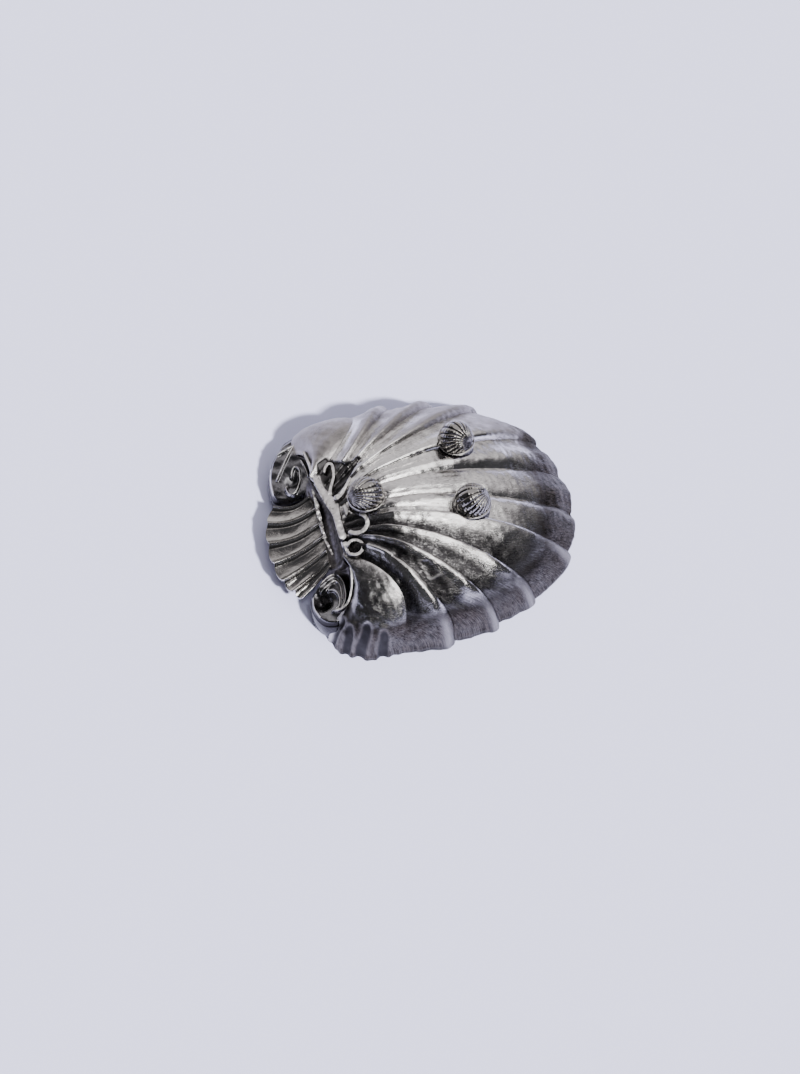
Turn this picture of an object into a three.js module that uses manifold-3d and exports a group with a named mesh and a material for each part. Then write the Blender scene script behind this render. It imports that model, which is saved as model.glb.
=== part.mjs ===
// A silver shell dish with three small shell feet, lying turned over on its rim.
// The cup is a fluted scallop shell. At its hinge it carries a cast ornament of straps and scrolls,
// two volutes and a small fan shell that serves as the thumb piece. Each foot is a cockle shell on
// a collar. X runs from the thumb piece to the lip, Z runs up, the floor is z = 0, and the feet
// point up. Turned over, the dish stands level on the flats of its three feet.

import * as THREE from 'three';
import { mergeVertices } from 'three/addons/utils/BufferGeometryUtils.js';
import Module from 'manifold-3d';

const wasm = await Module();
wasm.setup();

// The cup, in millimetres
const CUP_HEIGHT = 41.5;
const CUP_CENTRE_X = -10;
const CUP_HALF_WIDTH = 64.3;
const LIP_REACH = 84.5;
const HEEL_REACH = 55;
const LIP_SQUARENESS = { left: 2.55, right: 2.1 };
const HEEL_SQUARENESS = { left: 4.6, right: 3.6 };
const ROUNDNESS = { side: 2.8, lip: 1.55 };
const STEEPNESS = { side: 2.4, lip: 1.3 };
const LIP_BLEND = 0.7;
const HEEL_DROP = 8.5;
const HEEL_DROP_START = -14;
const HEEL_DROP_RUN = 32;
const SILVER_THICKNESS = 1.3;
const LIP_FLARE = 1.0;
const LIP_FLARE_HEIGHT = 6;
const RIM_LAND = 0.4;

// The flutes: rib n is centred on rib line n, and grooves run between the rib lines
const RIBS_EACH_SIDE = 5;
const EAR_WIDTH_IN_RIBS = 2;
const EDGE_LINE = RIBS_EACH_SIDE + 0.5 + EAR_WIDTH_IN_RIBS;
const RIB_DEPTH_TO_WIDTH = 0.13;
const RIB_WIDTH_AT_HINGE = 3.2;
const RIB_WIDTH_AT_RIM = 24;
const RIB_SPREAD = 1.15;
const RIB_FADE_AT_RIM = 0.35;
const RIM_FADE_FROM = 0.7;
const ARCH_CREST = 0.2;
const ARCH_POWER = 2.2;
const LAP_RISE = 2.6;
const LAP_RUN = 0.11;
const LAP_FADE = 0.25;
const GROOVE_SINK = 0.64;
const EAR_SWELL = { left: 2.6, right: 1.2 };
const EAR_EDGE_DROP = 5;
const EAR_POWER = 0.8;
const LAP_STOPS = [0, 0.08, 0.2, 0.4, 0.62, 0.84];
const SEGMENTS_PER_EAR = 8;
const ROWS = 13;

// Grooves in plan, from the centre rib outwards: where each starts on the hinge line, the point
// that bends it, and where it reaches the rim. The last two are the ear's crest and its edge.
const GROOVE_START_Y = [2.6, 6.4, 9, 11.5, 15.3, 21, 23.5, 26];
const GROOVE_BEND = [
  [10, 5.8], [6, 15.5], [8, 27], [-14, 24.5], [-21, 25], [-12, 49], [-28, 47], [-41, 44],
];
const GROOVE_END = [
  [76, 11.2], [65, 31], [42, 51.5], [22.5, 60], [0, 63.5], [-25.5, 64], [-44.5, 60], [-57.5, 48],
];

// The hinge line swings back on the left side, where the strap crosses it
const HINGE_X = -42.5;
const HINGE_SWING = 5.5;
const HINGE_SWING_WIDTH = 22;
const LEFT_EAR_SWING = 4;

// The cove between strap and thumb piece, and the heel wall below it
const HEEL_OUTSET = 0.7;
const HEEL_TUCK = 1.7;
const HEEL_END = 1.86;
const COVE_FOOT_HEIGHT = 19;
const COVE_FOOT_X = -49;
const COVE_FOOT_SWING = 2;
const HEEL_WALL_FOOT_HEIGHT = 3;
const HEEL_WALL_RUN = 4.5;
const COVE_HALF_WIDTH = 21;
const COVE_FADE = 8;
const COVE_THICKNESS = 1.4;

// The thumb piece: a fan of six hollow flutes between seven ridge lines
const FAN_FLUTES = 6;
const FAN_ROOT_Y = [18.6, 11, 2.5, -5, -13, -18.5, -21.5];
const FAN_EDGE = [
  [-68.4, 21.4], [-72.8, 12.8], [-74.3, 1.5], [-74, -9.5], [-71.3, -19.5], [-67.6, -26], [-64.2, -30.4],
];
const FAN_ROOT_HEIGHT = 19.5;
const FAN_EDGE_HEIGHT = 12;
const FAN_SAG = 1.2;
const FAN_RIDGE = 1.5;
const FAN_SCALLOP = 1.3;
const FAN_THICKNESS = 1.5;

// The two volutes: raised patches inside an outline, with ridges that roll up in them and a hollow
const VOLUTES = [
  {
    name: 'volute_left',
    x: -58,
    y: 38,
    top: 14,
    slope: 0.25,
    outline: [
      [-47, 56.5], [-55.7, 57.1], [-60, 53.2], [-64.2, 48], [-66.9, 42], [-68.4, 35], [-68.6, 29],
      [-67.2, 24.6], [-63, 22.6], [-57, 22.2], [-51, 22.4], [-47, 25], [-46.5, 34], [-46.5, 44],
    ],
    ridges: [
      {
        rise: 2.6,
        half: 1,
        points: [
          [-56.8, 35.2], [-55.9, 37.7], [-54, 39.2], [-52.5, 36.8], [-53.3, 31.7], [-55.4, 26.9],
          [-58, 24.8], [-60.1, 26.5], [-60.6, 29.6], [-59.6, 30.6],
        ],
      },
      { rise: 2, half: 0.9, points: [[-46, 59], [-49.7, 54.8], [-55.7, 47.4], [-60.3, 41.1], [-63.8, 36]] },
      { rise: 1.4, half: 0.8, points: [[-50.5, 42], [-49.4, 37.6], [-49, 32.1]] },
      { rise: 1.4, half: 0.9, points: [[-61, 50], [-57, 51], [-53, 52]] },
    ],
    hollow: { x: -56.5, y: 32.5, radius: 4, depth: 2.5 },
  },
  {
    name: 'volute_right',
    x: -53.5,
    y: -36,
    top: 14.9,
    slope: 0.15,
    outline: [
      [-46.5, -22], [-52, -23.2], [-57.2, -26.8], [-61, -31], [-62, -37], [-60.5, -43], [-57, -47.5],
      [-51, -49], [-46, -46], [-43.8, -38], [-43.5, -30],
    ],
    ridges: [
      {
        rise: 2.2,
        half: 0.9,
        points: [
          [-56, -27], [-51, -24.6], [-47.9, -24.4], [-45.9, -26.4], [-45, -31], [-46, -38],
          [-49.9, -43.5],
        ],
      },
      { rise: 1.8, half: 0.8, points: [[-56, -30.4], [-51.9, -28.3], [-48.3, -27.6]] },
      {
        rise: 2.2,
        half: 0.8,
        points: [[-52.5, -30.9], [-49.8, -32.2], [-48.6, -36.6], [-50, -41], [-52.9, -42.2]],
      },
    ],
    hollow: { x: -56.6, y: -35.1, radius: 4.4, depth: 5 },
  },
];
const VOLUTE_FOOT = 1.2;
const VOLUTE_EDGE_DROP = 2.6;
const VOLUTE_SIDES = 40;
const VOLUTE_RINGS = [0.05, 0.2, 0.34, 0.47, 0.58, 0.68, 0.77, 0.85, 0.93, 1];

// The applied ornament: each strap is a flat-topped bar along a line of points [x, y, half width],
// and lies on whatever is under it
const STRAP_RISE = 1.5;
const STRAP_SINK = 2.2;
const STRAP_LIFT = 0.3;
const STRAP_STEP = 1.9;
const EASING_PASSES = 3;
const STRAP_FLAT = 0.65;
const STRAP_SHOULDER = 0.45;
const STRAPS = [
  {
    name: 'strap_stem',
    points: [
      [-48.6, 43, 0.8], [-47.6, 34, 1], [-47.2, 25.7, 1.2], [-45.8, 16.2, 1.7], [-43.9, 9.2, 2.3],
      [-42.4, 5, 2.9], [-41.6, -1.9, 1.9], [-41.5, -9.1, 1.7], [-41.1, -15, 1.9],
    ],
  },
  {
    name: 'strap_tail',
    points: [
      [-41, -16.6, 1.4], [-40.9, -22.3, 0.9], [-41, -29.5, 0.7], [-42.2, -36.2, 0.7],
      [-45, -42, 0.7], [-48.4, -44.4, 0.7], [-52.4, -44.6, 0.7],
    ],
  },
  {
    name: 'leaf_loop',
    points: [
      [-42.3, 9.4, 1.2], [-40.9, 13.5, 0.8], [-38.2, 19.4, 0.8], [-37.6, 25.5, 0.8],
      [-39.2, 26.9, 0.8], [-41.1, 25.1, 0.7], [-42.1, 22.5, 0.7],
    ],
  },
  {
    name: 'branch',
    points: [[-40.9, 5.4, 1.6], [-38.6, 6, 1.1], [-36.8, 7, 0.8], [-33, 11.8, 0.7], [-30.6, 15.2, 0.6]],
  },
  {
    name: 'crescent',
    points: [[-37.4, 1, 0.6], [-36.7, -1.8, 0.9], [-37.4, -4.6, 0.6]],
  },
];
const SCROLL_CURL = 0.18;
const RINGS = [
  { name: 'scroll_large', x: -33.6, y: -11.2, radius: 5.4, from: -150, to: 65, half: 1.0 },
  { name: 'scroll_small', x: -37.2, y: -21.8, radius: 4.1, from: -165, to: 165, half: 0.8 },
];

// The feet: cockle shells on collars, each turned by the bearing of its own hinge in degrees, and
// standing on the cup at the height of its base
const FEET = [
  { name: 'foot_hinge', x: -26.6, y: -0.4, bearing: 195, base: 41.2 },
  { name: 'foot_left', x: 21.8, y: 20.4, bearing: -55, base: 39.6 },
  { name: 'foot_right', x: 19.8, y: -15.4, bearing: 0, base: 39.8 },
];
const FOOT_TIP_HEIGHT = 48.8;
const FOOT_RADIUS = 8.4;
const FOOT_RIBS = 18;
const FOOT_RIB_LEAN = 0.5;
const FOOT_RIB_DEPTH = 0.5;
const FOOT_FLAT_RADIUS = 2.2;

// The collar's radii, and its heights below the base of the shell
const COLLAR_RADIUS = 8.9;
const COLLAR_NECK = 7.9;
const COLLAR_FOOT = 8.5;
const COLLAR_DEPTH = 11;
const COLLAR_NECK_DEPTH = 2.8;
const COLLAR_LIP = 1.2;
const COLLAR_BEVEL = 0.3;
const COLLAR_SIDES = 32;

const GAP = 0.3;
const GAP_OVER_LAPS = 0.4;
// Edges shorter than this are merged where a volute is cut to the cup
const SLIVER_TOLERANCE = 0.02;
const CLEARANCE_FLOOR = -5;
const degrees = THREE.MathUtils.degToRad;
const smoothstep = THREE.MathUtils.smoothstep;
const lerp = THREE.MathUtils.lerp;

// Finishes
const silver = { color: 0xb9b4b2, roughness: 0.22, metalness: 1.0 };
const castSilver = { color: 0xc4bfbb, roughness: 0.36, metalness: 1.0 };
const darkSilver = { color: 0x8d898a, roughness: 0.3, metalness: 1.0 };

// Solids

function solidOf(geometry) {
  geometry.deleteAttribute('normal');
  geometry.deleteAttribute('uv');
  const merged = mergeVertices(geometry, 1e-4);
  return new wasm.Manifold(new wasm.Mesh({
    numProp: 3,
    vertProperties: new Float32Array(merged.attributes.position.array),
    triVerts: new Uint32Array(merged.index.array),
  }));
}

// The largest body that a cut leaves
function mainBody(solid) {
  return solid.decompose().reduce((best, body) => (body.volume() > best.volume() ? body : best));
}

function geometryOf(solid) {
  const mesh = solid.getMesh();
  const geometry = new THREE.BufferGeometry();
  geometry.setAttribute('position', new THREE.BufferAttribute(new Float32Array(mesh.vertProperties), 3));
  geometry.setIndex(new THREE.BufferAttribute(new Uint32Array(mesh.triVerts), 1));
  geometry.computeVertexNormals();
  return geometry;
}

function signedVolume(points, faces) {
  let volume = 0;
  for (const [a, b, c] of faces) {
    volume += points[a].dot(new THREE.Vector3().crossVectors(points[b], points[c])) / 6;
  }
  return volume;
}

// A closed geometry from points and triangles, turned so that its faces point outwards
function closedGeometry(points, faces) {
  const outward = signedVolume(points, faces) > 0;
  const index = [];
  for (const [a, b, c] of faces) {
    index.push(a, outward ? b : c, outward ? c : b);
  }
  const geometry = new THREE.BufferGeometry();
  geometry.setAttribute('position', new THREE.Float32BufferAttribute(points.flatMap((p) => p.toArray()), 3));
  geometry.setIndex(index);
  return geometry;
}

// Two grids of points, stitched round their four edges into one closed wall
function wallGeometry(outer, inner) {
  const rows = outer.length;
  const columns = outer[0].length;
  const points = [...outer.flat(), ...inner.flat()];
  const at = (side, i, j) => side * rows * columns + i * columns + j;
  const faces = [];
  const quad = (a, b, c, d) => faces.push([a, b, c], [a, c, d]);
  for (let i = 0; i < rows - 1; i += 1) {
    for (let j = 0; j < columns - 1; j += 1) {
      quad(at(0, i, j), at(0, i, j + 1), at(0, i + 1, j + 1), at(0, i + 1, j));
      quad(at(1, i, j), at(1, i + 1, j), at(1, i + 1, j + 1), at(1, i, j + 1));
    }
  }
  for (let i = 0; i < rows - 1; i += 1) {
    quad(at(0, i, 0), at(0, i + 1, 0), at(1, i + 1, 0), at(1, i, 0));
    quad(at(0, i + 1, columns - 1), at(0, i, columns - 1), at(1, i, columns - 1), at(1, i + 1, columns - 1));
  }
  for (let j = 0; j < columns - 1; j += 1) {
    quad(at(0, 0, j + 1), at(0, 0, j), at(1, 0, j), at(1, 0, j + 1));
    quad(at(0, rows - 1, j), at(0, rows - 1, j + 1), at(1, rows - 1, j + 1), at(1, rows - 1, j));
  }
  return closedGeometry(points, faces);
}

// Rings of points, one inside or above the next, closed at both ends by a fan of triangles
function ringsGeometry(rings) {
  const sides = rings[0].length;
  const points = rings.flat();
  const faces = [];
  for (let i = 0; i < rings.length - 1; i += 1) {
    for (let j = 0; j < sides; j += 1) {
      const k = (j + 1) % sides;
      faces.push([i * sides + j, i * sides + k, (i + 1) * sides + k]);
      faces.push([i * sides + j, (i + 1) * sides + k, (i + 1) * sides + j]);
    }
  }
  for (const [ring, turned] of [[0, true], [rings.length - 1, false]]) {
    const middle = new THREE.Vector3();
    rings[ring].forEach((p) => middle.addScaledVector(p, 1 / sides));
    points.push(middle);
    for (let j = 0; j < sides; j += 1) {
      const a = ring * sides + j;
      const b = ring * sides + ((j + 1) % sides);
      faces.push(turned ? [points.length - 1, b, a] : [points.length - 1, a, b]);
    }
  }
  return closedGeometry(points, faces);
}

// The surface along a grid of two parameters, and its unit normal by differences
function surfaceNormal(surface, a, b, step = 1e-3) {
  const along = surface(a + step, b).sub(surface(a - step, b));
  const across = surface(a, b + step).sub(surface(a, b - step));
  return across.cross(along).normalize();
}

// A surface's grid of points, moved along its normals
function gridOf(surface, aValues, bValues, shift, side = 1) {
  return aValues.map((a) => bValues.map((b) => (
    surface(a, b).addScaledVector(surfaceNormal(surface, a, b), side * shift)
  )));
}

// A sheet of one thickness behind a surface, or with grow the sheet and a gap on both its faces
function sheetGeometry(surface, aValues, bValues, thickness, side = 1, grow = 0) {
  const outer = gridOf(surface, aValues, bValues, grow, side);
  const inner = gridOf(surface, aValues, bValues, -thickness - grow, side);
  return wallGeometry(outer, inner);
}

// All that lies under a surface, and the gap that neighbours keep to it
function clearanceGeometry(surface, aValues, bValues, side = 1, gap = GAP) {
  const outer = gridOf(surface, aValues, bValues, gap, side);
  const below = outer.map((row) => row.map((p) => new THREE.Vector3(p.x, p.y, CLEARANCE_FLOOR)));
  return wallGeometry(outer, below);
}

function evenSteps(from, to, count) {
  return Array.from({ length: count + 1 }, (_, i) => lerp(from, to, i / count));
}

// A smooth curve through values, for a parameter that steps by one from each to the next
function through(values, t) {
  const last = values.length - 1;
  const i = Math.min(Math.max(Math.floor(t), 0), last - 1);
  const f = t - i;
  const p1 = values[i];
  const p2 = values[i + 1];
  const p0 = i > 0 ? values[i - 1] : 2 * p1 - p2;
  const p3 = i + 2 <= last ? values[i + 2] : 2 * p2 - p1;
  return 0.5 * (2 * p1 + (p2 - p0) * f + (2 * p0 - 5 * p1 + 4 * p2 - p3) * f * f
    + (3 * p1 - p0 - 3 * p2 + p3) * f * f * f);
}

// The cup

// A table over the grooves, mirrored: rib line 0 is the axis and line 0.5 the first groove
function overGrooves(values, ribLine, mirror) {
  const both = [...values.map((v) => mirror * v).reverse(), ...values];
  return through(both, ribLine - 0.5 + values.length);
}

function hingeX(y) {
  return HINGE_X - HINGE_SWING * smoothstep(y, 0, HINGE_SWING_WIDTH);
}

// How far out a plan point lies: 0 at the cup's centre, 1 on its rim
function reach(x, y) {
  const forward = x > CUP_CENTRE_X;
  const squareness = forward ? LIP_SQUARENESS : HEEL_SQUARENESS;
  const power = y > 0 ? squareness.left : squareness.right;
  const length = forward ? LIP_REACH : HEEL_REACH;
  const along = Math.abs(x - CUP_CENTRE_X) / length;
  return (along ** power + (Math.abs(y) / CUP_HALF_WIDTH) ** power) ** (1 / power);
}

// Height of the smooth dome: boxy at the sides and the heel, easy along the axis to the lip
function domeHeight(x, y) {
  const along = (Math.max(0, x - CUP_CENTRE_X) / LIP_REACH) ** 2;
  const aside = (y / CUP_HALF_WIDTH) ** 2;
  const towardsLip = (along / Math.max(along + aside, 1e-9)) ** LIP_BLEND;
  const roundness = lerp(ROUNDNESS.side, ROUNDNESS.lip, towardsLip);
  const steepness = lerp(STEEPNESS.side, STEEPNESS.lip, towardsLip);
  const share = Math.max(0, 1 - reach(x, y) ** roundness) ** (1 / steepness);
  const drop = HEEL_DROP * smoothstep(HEEL_DROP_START - x, 0, HEEL_DROP_RUN);
  return (CUP_HEIGHT - drop) * share;
}

function domeNormal(x, y) {
  const inward = Math.min(1, 0.997 / Math.max(reach(x, y), 1e-6));
  const px = CUP_CENTRE_X + (x - CUP_CENTRE_X) * inward;
  const py = y * inward;
  const step = 0.02;
  const slopeX = (domeHeight(px + step, py) - domeHeight(px - step, py)) / (2 * step);
  const slopeY = (domeHeight(px, py + step) - domeHeight(px, py - step)) / (2 * step);
  return new THREE.Vector3(-slopeX, -slopeY, 1).normalize();
}

// Plan point on a rib line: a bend from the hinge line to the rim, the share s of the way
function planPoint(line, s) {
  const startY = overGrooves(GROOVE_START_Y, line, -1);
  const startX = hingeX(startY);
  const bendX = overGrooves(GROOVE_BEND.map((p) => p[0]), line, 1)
    - LEFT_EAR_SWING * smoothstep(line, RIBS_EACH_SIDE + 0.5, EDGE_LINE);
  const bendY = overGrooves(GROOVE_BEND.map((p) => p[1]), line, -1);
  let endX = overGrooves(GROOVE_END.map((p) => p[0]), line, 1);
  let endY = overGrooves(GROOVE_END.map((p) => p[1]), line, -1);
  const far = reach(endX, endY);
  endX = CUP_CENTRE_X + (endX - CUP_CENTRE_X) / far;
  endY /= far;
  const a = (1 - s) ** 2;
  const b = 2 * s * (1 - s);
  const c = s * s;
  return [a * startX + b * bendX + c * endX, a * startY + b * bendY + c * endY];
}

// Ribs lap like waves: steep up to a crest from the groove nearer the middle, and hollow after it.
// The middle rib is an even arch, and so are all at the hinge.
function ribRise(line, s) {
  const distance = Math.abs(line);
  const share = Math.max(0, s);
  const width = lerp(RIB_WIDTH_AT_HINGE, RIB_WIDTH_AT_RIM, share ** RIB_SPREAD);
  const depth = RIB_DEPTH_TO_WIDTH * width * (1 - RIB_FADE_AT_RIM * smoothstep(share, RIM_FADE_FROM, 1));
  if (distance <= RIBS_EACH_SIDE + 0.5) {
    const across = distance - Math.round(distance);
    const v = across + 0.5;
    const lap = LAP_RISE * (1 - Math.exp(-v / LAP_RUN)) * (1 - v) ** 2 - GROOVE_SINK;
    const arch = ARCH_CREST - Math.abs(2 * across) ** ARCH_POWER;
    return depth * lerp(arch, lap, smoothstep(distance, 0.5, 1.5) * smoothstep(share, 0, LAP_FADE));
  }
  const across = (distance - RIBS_EACH_SIDE - 0.5) / EAR_WIDTH_IN_RIBS;
  const swell = Math.sin(Math.PI * Math.min(across, 1)) ** EAR_POWER;
  const edge = EAR_EDGE_DROP * smoothstep(across, 0.7, 1) * (1 - 0.6 * s);
  const proud = (line > 0 ? EAR_SWELL.left : EAR_SWELL.right) * (1 - share ** 10);
  return lerp(-GROOVE_SINK * depth, ARCH_CREST * depth + proud, swell) - edge * 0.8;
}

function cupSurface(line, s) {
  const [x, y] = planPoint(line, s);
  const normal = domeNormal(x, y);
  const z = domeHeight(x, y);
  const flare = LIP_FLARE * Math.max(0, 1 - z / LIP_FLARE_HEIGHT) ** 2;
  return new THREE.Vector3(x, y, z).addScaledVector(normal, ribRise(line, s) + flare);
}

// The cup's surface moved by a step along the dome's own normal, so that the laps don't pinch
function cupOffset(line, s, step) {
  const [x, y] = planPoint(line, s);
  return cupSurface(line, s).addScaledVector(domeNormal(x, y), step);
}

function cupInside(line, s) {
  return cupOffset(line, s, -SILVER_THICKNESS);
}

function cupShroud(line, s) {
  return cupOffset(line, s, GAP_OVER_LAPS);
}

function ribLines(beyond) {
  const lines = [];
  for (let i = 0; i < SEGMENTS_PER_EAR; i += 1) {
    lines.push(-EDGE_LINE + (EAR_WIDTH_IN_RIBS * i) / SEGMENTS_PER_EAR);
  }
  for (let rib = -RIBS_EACH_SIDE; rib < 0; rib += 1) {
    lines.push(rib - 0.5, ...LAP_STOPS.slice(1).reverse().map((v) => rib + 0.5 - v));
  }
  for (let rib = 0; rib <= RIBS_EACH_SIDE; rib += 1) {
    lines.push(...LAP_STOPS.map((v, i) => rib - 0.5 + (rib === 0 ? i / LAP_STOPS.length : v)));
  }
  lines.push(RIBS_EACH_SIDE + 0.5);
  for (let i = 1; i <= SEGMENTS_PER_EAR; i += 1) {
    lines.push(RIBS_EACH_SIDE + 0.5 + (EAR_WIDTH_IN_RIBS * i) / SEGMENTS_PER_EAR);
  }
  lines[0] -= beyond;
  lines[lines.length - 1] += beyond;
  return lines;
}

// Rows crowd towards the rim, where the wall stands steep
function rowShares() {
  return Array.from({ length: ROWS + 1 }, (_, i) => 1 - (1 - i / ROWS) ** 1.7);
}

// The rim is ground flat where the dish lies on it
function groundFlat(grid) {
  return grid.map((line) => line.map((p, i) => (
    i === line.length - 1 ? p.setZ(0) : p.setZ(Math.max(p.z, RIM_LAND))
  )));
}

const cupLines = ribLines(0);
const cup = solidOf(wallGeometry(
  groundFlat(gridOf(cupSurface, cupLines, rowShares(), 0)),
  groundFlat(gridOf(cupInside, cupLines, rowShares(), 0)),
));
const clearanceShares = rowShares();
clearanceShares[0] = -0.004;
const cupClearance = solidOf(clearanceGeometry(cupShroud, ribLines(0.06), clearanceShares, 1, 0));

// The cove and heel wall, hung under the cup's heel border: across the hinge for u from -1 to 1,
// and on down the edge of each ear beyond that

function heelBorder(u) {
  const beyond = Math.max(0, Math.abs(u) - 1);
  return cupSurface(THREE.MathUtils.clamp(u, -1, 1) * EDGE_LINE, beyond);
}

function coveFootX(y) {
  return COVE_FOOT_X - COVE_FOOT_SWING * smoothstep(y, 8, 20);
}

function heelSurface(u, t) {
  const top = heelBorder(u).add(new THREE.Vector3(-HEEL_OUTSET, 0, -HEEL_TUCK));
  const atEar = smoothstep(Math.abs(top.y), COVE_HALF_WIDTH, COVE_HALF_WIDTH + COVE_FADE);
  const foot = new THREE.Vector3(
    lerp(coveFootX(top.y), top.x - 0.6, atEar),
    top.y,
    lerp(COVE_FOOT_HEIGHT, Math.max(top.z - 2.5, HEEL_WALL_FOOT_HEIGHT + 1), atEar),
  );
  if (t <= 1) {
    const bend = new THREE.Vector3(lerp(top.x, foot.x, 0.2), top.y, foot.z + 0.8);
    return top.multiplyScalar((1 - t) ** 2)
      .addScaledVector(bend, 2 * t * (1 - t))
      .addScaledVector(foot, t * t);
  }
  const down = t - 1;
  return new THREE.Vector3(
    foot.x - lerp(HEEL_WALL_RUN, 0.6, atEar) * down ** 0.7,
    top.y,
    lerp(foot.z, HEEL_WALL_FOOT_HEIGHT, down),
  );
}

const heelAcross = evenSteps(-HEEL_END, HEEL_END, 36);
const heelDown = [0, 0.25, 0.5, 0.75, 1, 1.12, 1.3, 1.6, 2];
const cove = solidOf(sheetGeometry(heelSurface, heelAcross, heelDown, COVE_THICKNESS, -1))
  .subtract(cupClearance);
const wideAcross = [-HEEL_END - 0.01, ...heelAcross.slice(1, -1), HEEL_END + 0.01];
const wideDown = [...heelDown.slice(0, -1), 2.1];
const coveClearance = solidOf(clearanceGeometry(heelSurface, heelAcross, heelDown, -1))
  .add(solidOf(sheetGeometry(heelSurface, wideAcross, wideDown, COVE_THICKNESS, -1, GAP)));

// The thumb piece

function fanSurface(flute, t) {
  const rootY = through(FAN_ROOT_Y, flute);
  const rootX = coveFootX(rootY) - 0.2;
  const edgeX = through(FAN_EDGE.map((p) => p[0]), flute);
  const edgeY = through(FAN_EDGE.map((p) => p[1]), flute);
  const across = flute - Math.floor(Math.min(flute, FAN_FLUTES - 1e-6));
  const hollow = Math.sin(Math.PI * across);
  const scallop = 1 + (FAN_SCALLOP * hollow * t) / Math.hypot(edgeX - rootX, edgeY - rootY);
  const ridge = FAN_RIDGE * (1 - hollow) ** 1.5 * (0.5 + 0.5 * t);
  return new THREE.Vector3(
    lerp(rootX, edgeX, t * scallop),
    lerp(rootY, edgeY, t * scallop),
    lerp(FAN_ROOT_HEIGHT, FAN_EDGE_HEIGHT, t) + ridge - FAN_SAG * Math.sin(Math.PI * t),
  );
}

const fanAcross = evenSteps(0, FAN_FLUTES, FAN_FLUTES * 6);
const fanAlong = evenSteps(0, 1, 7);

// The volutes

// The distance from a plan point to a line of plan points
function distanceTo(points, x, y) {
  let nearest = Infinity;
  for (let i = 0; i + 1 < points.length; i += 1) {
    const [ax, ay] = points[i];
    const [bx, by] = points[i + 1];
    const run = (bx - ax) ** 2 + (by - ay) ** 2;
    const share = THREE.MathUtils.clamp(((x - ax) * (bx - ax) + (y - ay) * (by - ay)) / run, 0, 1);
    nearest = Math.min(nearest, Math.hypot(x - lerp(ax, bx, share), y - lerp(ay, by, share)));
  }
  return nearest;
}

// A plan point on a closed outline, for a turn from 0 to 1 round it
function outlinePoint(outline, turn) {
  const wrapped = [...outline.slice(-2), ...outline, ...outline.slice(0, 2)];
  const at = turn * outline.length + 2;
  return [0, 1].map((axis) => through(wrapped.map((p) => p[axis]), at));
}

function voluteHeight(volute, x, y, share) {
  const { hollow } = volute;
  const fromHollow = Math.hypot(x - hollow.x, y - hollow.y) / hollow.radius;
  const sunk = hollow.depth * Math.exp(-(fromHollow ** 2));
  const ridges = volute.ridges.map(({ rise, half, points }) => (
    rise * Math.exp(-((distanceTo(points, x, y) / half) ** 2))
  ));
  const edge = VOLUTE_EDGE_DROP * smoothstep(share, 0.84, 1);
  return volute.top + volute.slope * (x - volute.x) - sunk - edge + Math.max(...ridges);
}

// A volute, or with grow the clearance that its neighbours keep to it
function voluteSolid(volute, grow) {
  const turns = evenSteps(0, 1, VOLUTE_SIDES).slice(0, VOLUTE_SIDES);
  const ringAt = (share, heightAt) => turns.map((turn) => {
    const [edgeX, edgeY] = outlinePoint(volute.outline, turn);
    const out = Math.hypot(edgeX - volute.x, edgeY - volute.y);
    const x = lerp(volute.x, edgeX, share);
    const y = lerp(volute.y, edgeY, share);
    const grown = share > 0.5 ? grow / out : 0;
    return new THREE.Vector3(
      x + grown * (edgeX - volute.x),
      y + grown * (edgeY - volute.y),
      heightAt(x, y),
    );
  });
  const rings = VOLUTE_RINGS.map((share) => (
    ringAt(share, (x, y) => voluteHeight(volute, x, y, share) + grow)
  ));
  rings.push(ringAt(1, () => VOLUTE_FOOT - grow));
  return solidOf(ringsGeometry(rings));
}

const volutes = VOLUTES.map((volute) => ({
  name: volute.name,
  solid: mainBody(voluteSolid(volute, 0).subtract(cupClearance).subtract(coveClearance))
    .simplify(SLIVER_TOLERANCE),
  clearance: voluteSolid(volute, GAP),
}));

let fan = solidOf(sheetGeometry(fanSurface, fanAcross, fanAlong, FAN_THICKNESS)).subtract(coveClearance);
volutes.forEach((volute) => {
  fan = fan.subtract(volute.clearance);
});

// The feet

// Ribs fan out from the shell's own hinge over a low dome, which is cut flat on top. Higher up they
// lean outwards, so that each rib is an arc from the hinge to the margin.
function footSolid(foot) {
  const sides = 56;
  const hinge = degrees(foot.bearing);
  const height = FOOT_TIP_HEIGHT - foot.base;
  const ringAt = (tilt) => evenSteps(0, 2 * Math.PI, sides).slice(0, sides).map((angle) => {
    const radius = FOOT_RADIUS * Math.cos(tilt);
    const along = FOOT_RADIUS - radius * Math.cos(angle - hinge);
    const aside = radius * Math.sin(angle - hinge) * (1 - FOOT_RIB_LEAN * Math.sin(tilt));
    const across = (Math.atan2(aside, along) / Math.PI) * FOOT_RIBS;
    const rib = FOOT_RIB_DEPTH * (Math.abs(Math.cos(Math.PI * across)) - 1) * Math.cos(tilt) ** 0.5;
    const rise = (height + 0.35) * Math.sin(tilt);
    return new THREE.Vector3(
      foot.x + (radius + rib) * Math.cos(angle),
      foot.y + (radius + rib) * Math.sin(angle),
      foot.base + Math.min(rise, height),
    );
  });
  const flatTilt = Math.acos(FOOT_FLAT_RADIUS / FOOT_RADIUS);
  const rings = evenSteps(0, flatTilt, 6).map(ringAt);
  const top = rings[rings.length - 1];
  top.forEach((p) => p.setZ(FOOT_TIP_HEIGHT));
  return solidOf(ringsGeometry(rings));
}

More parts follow.
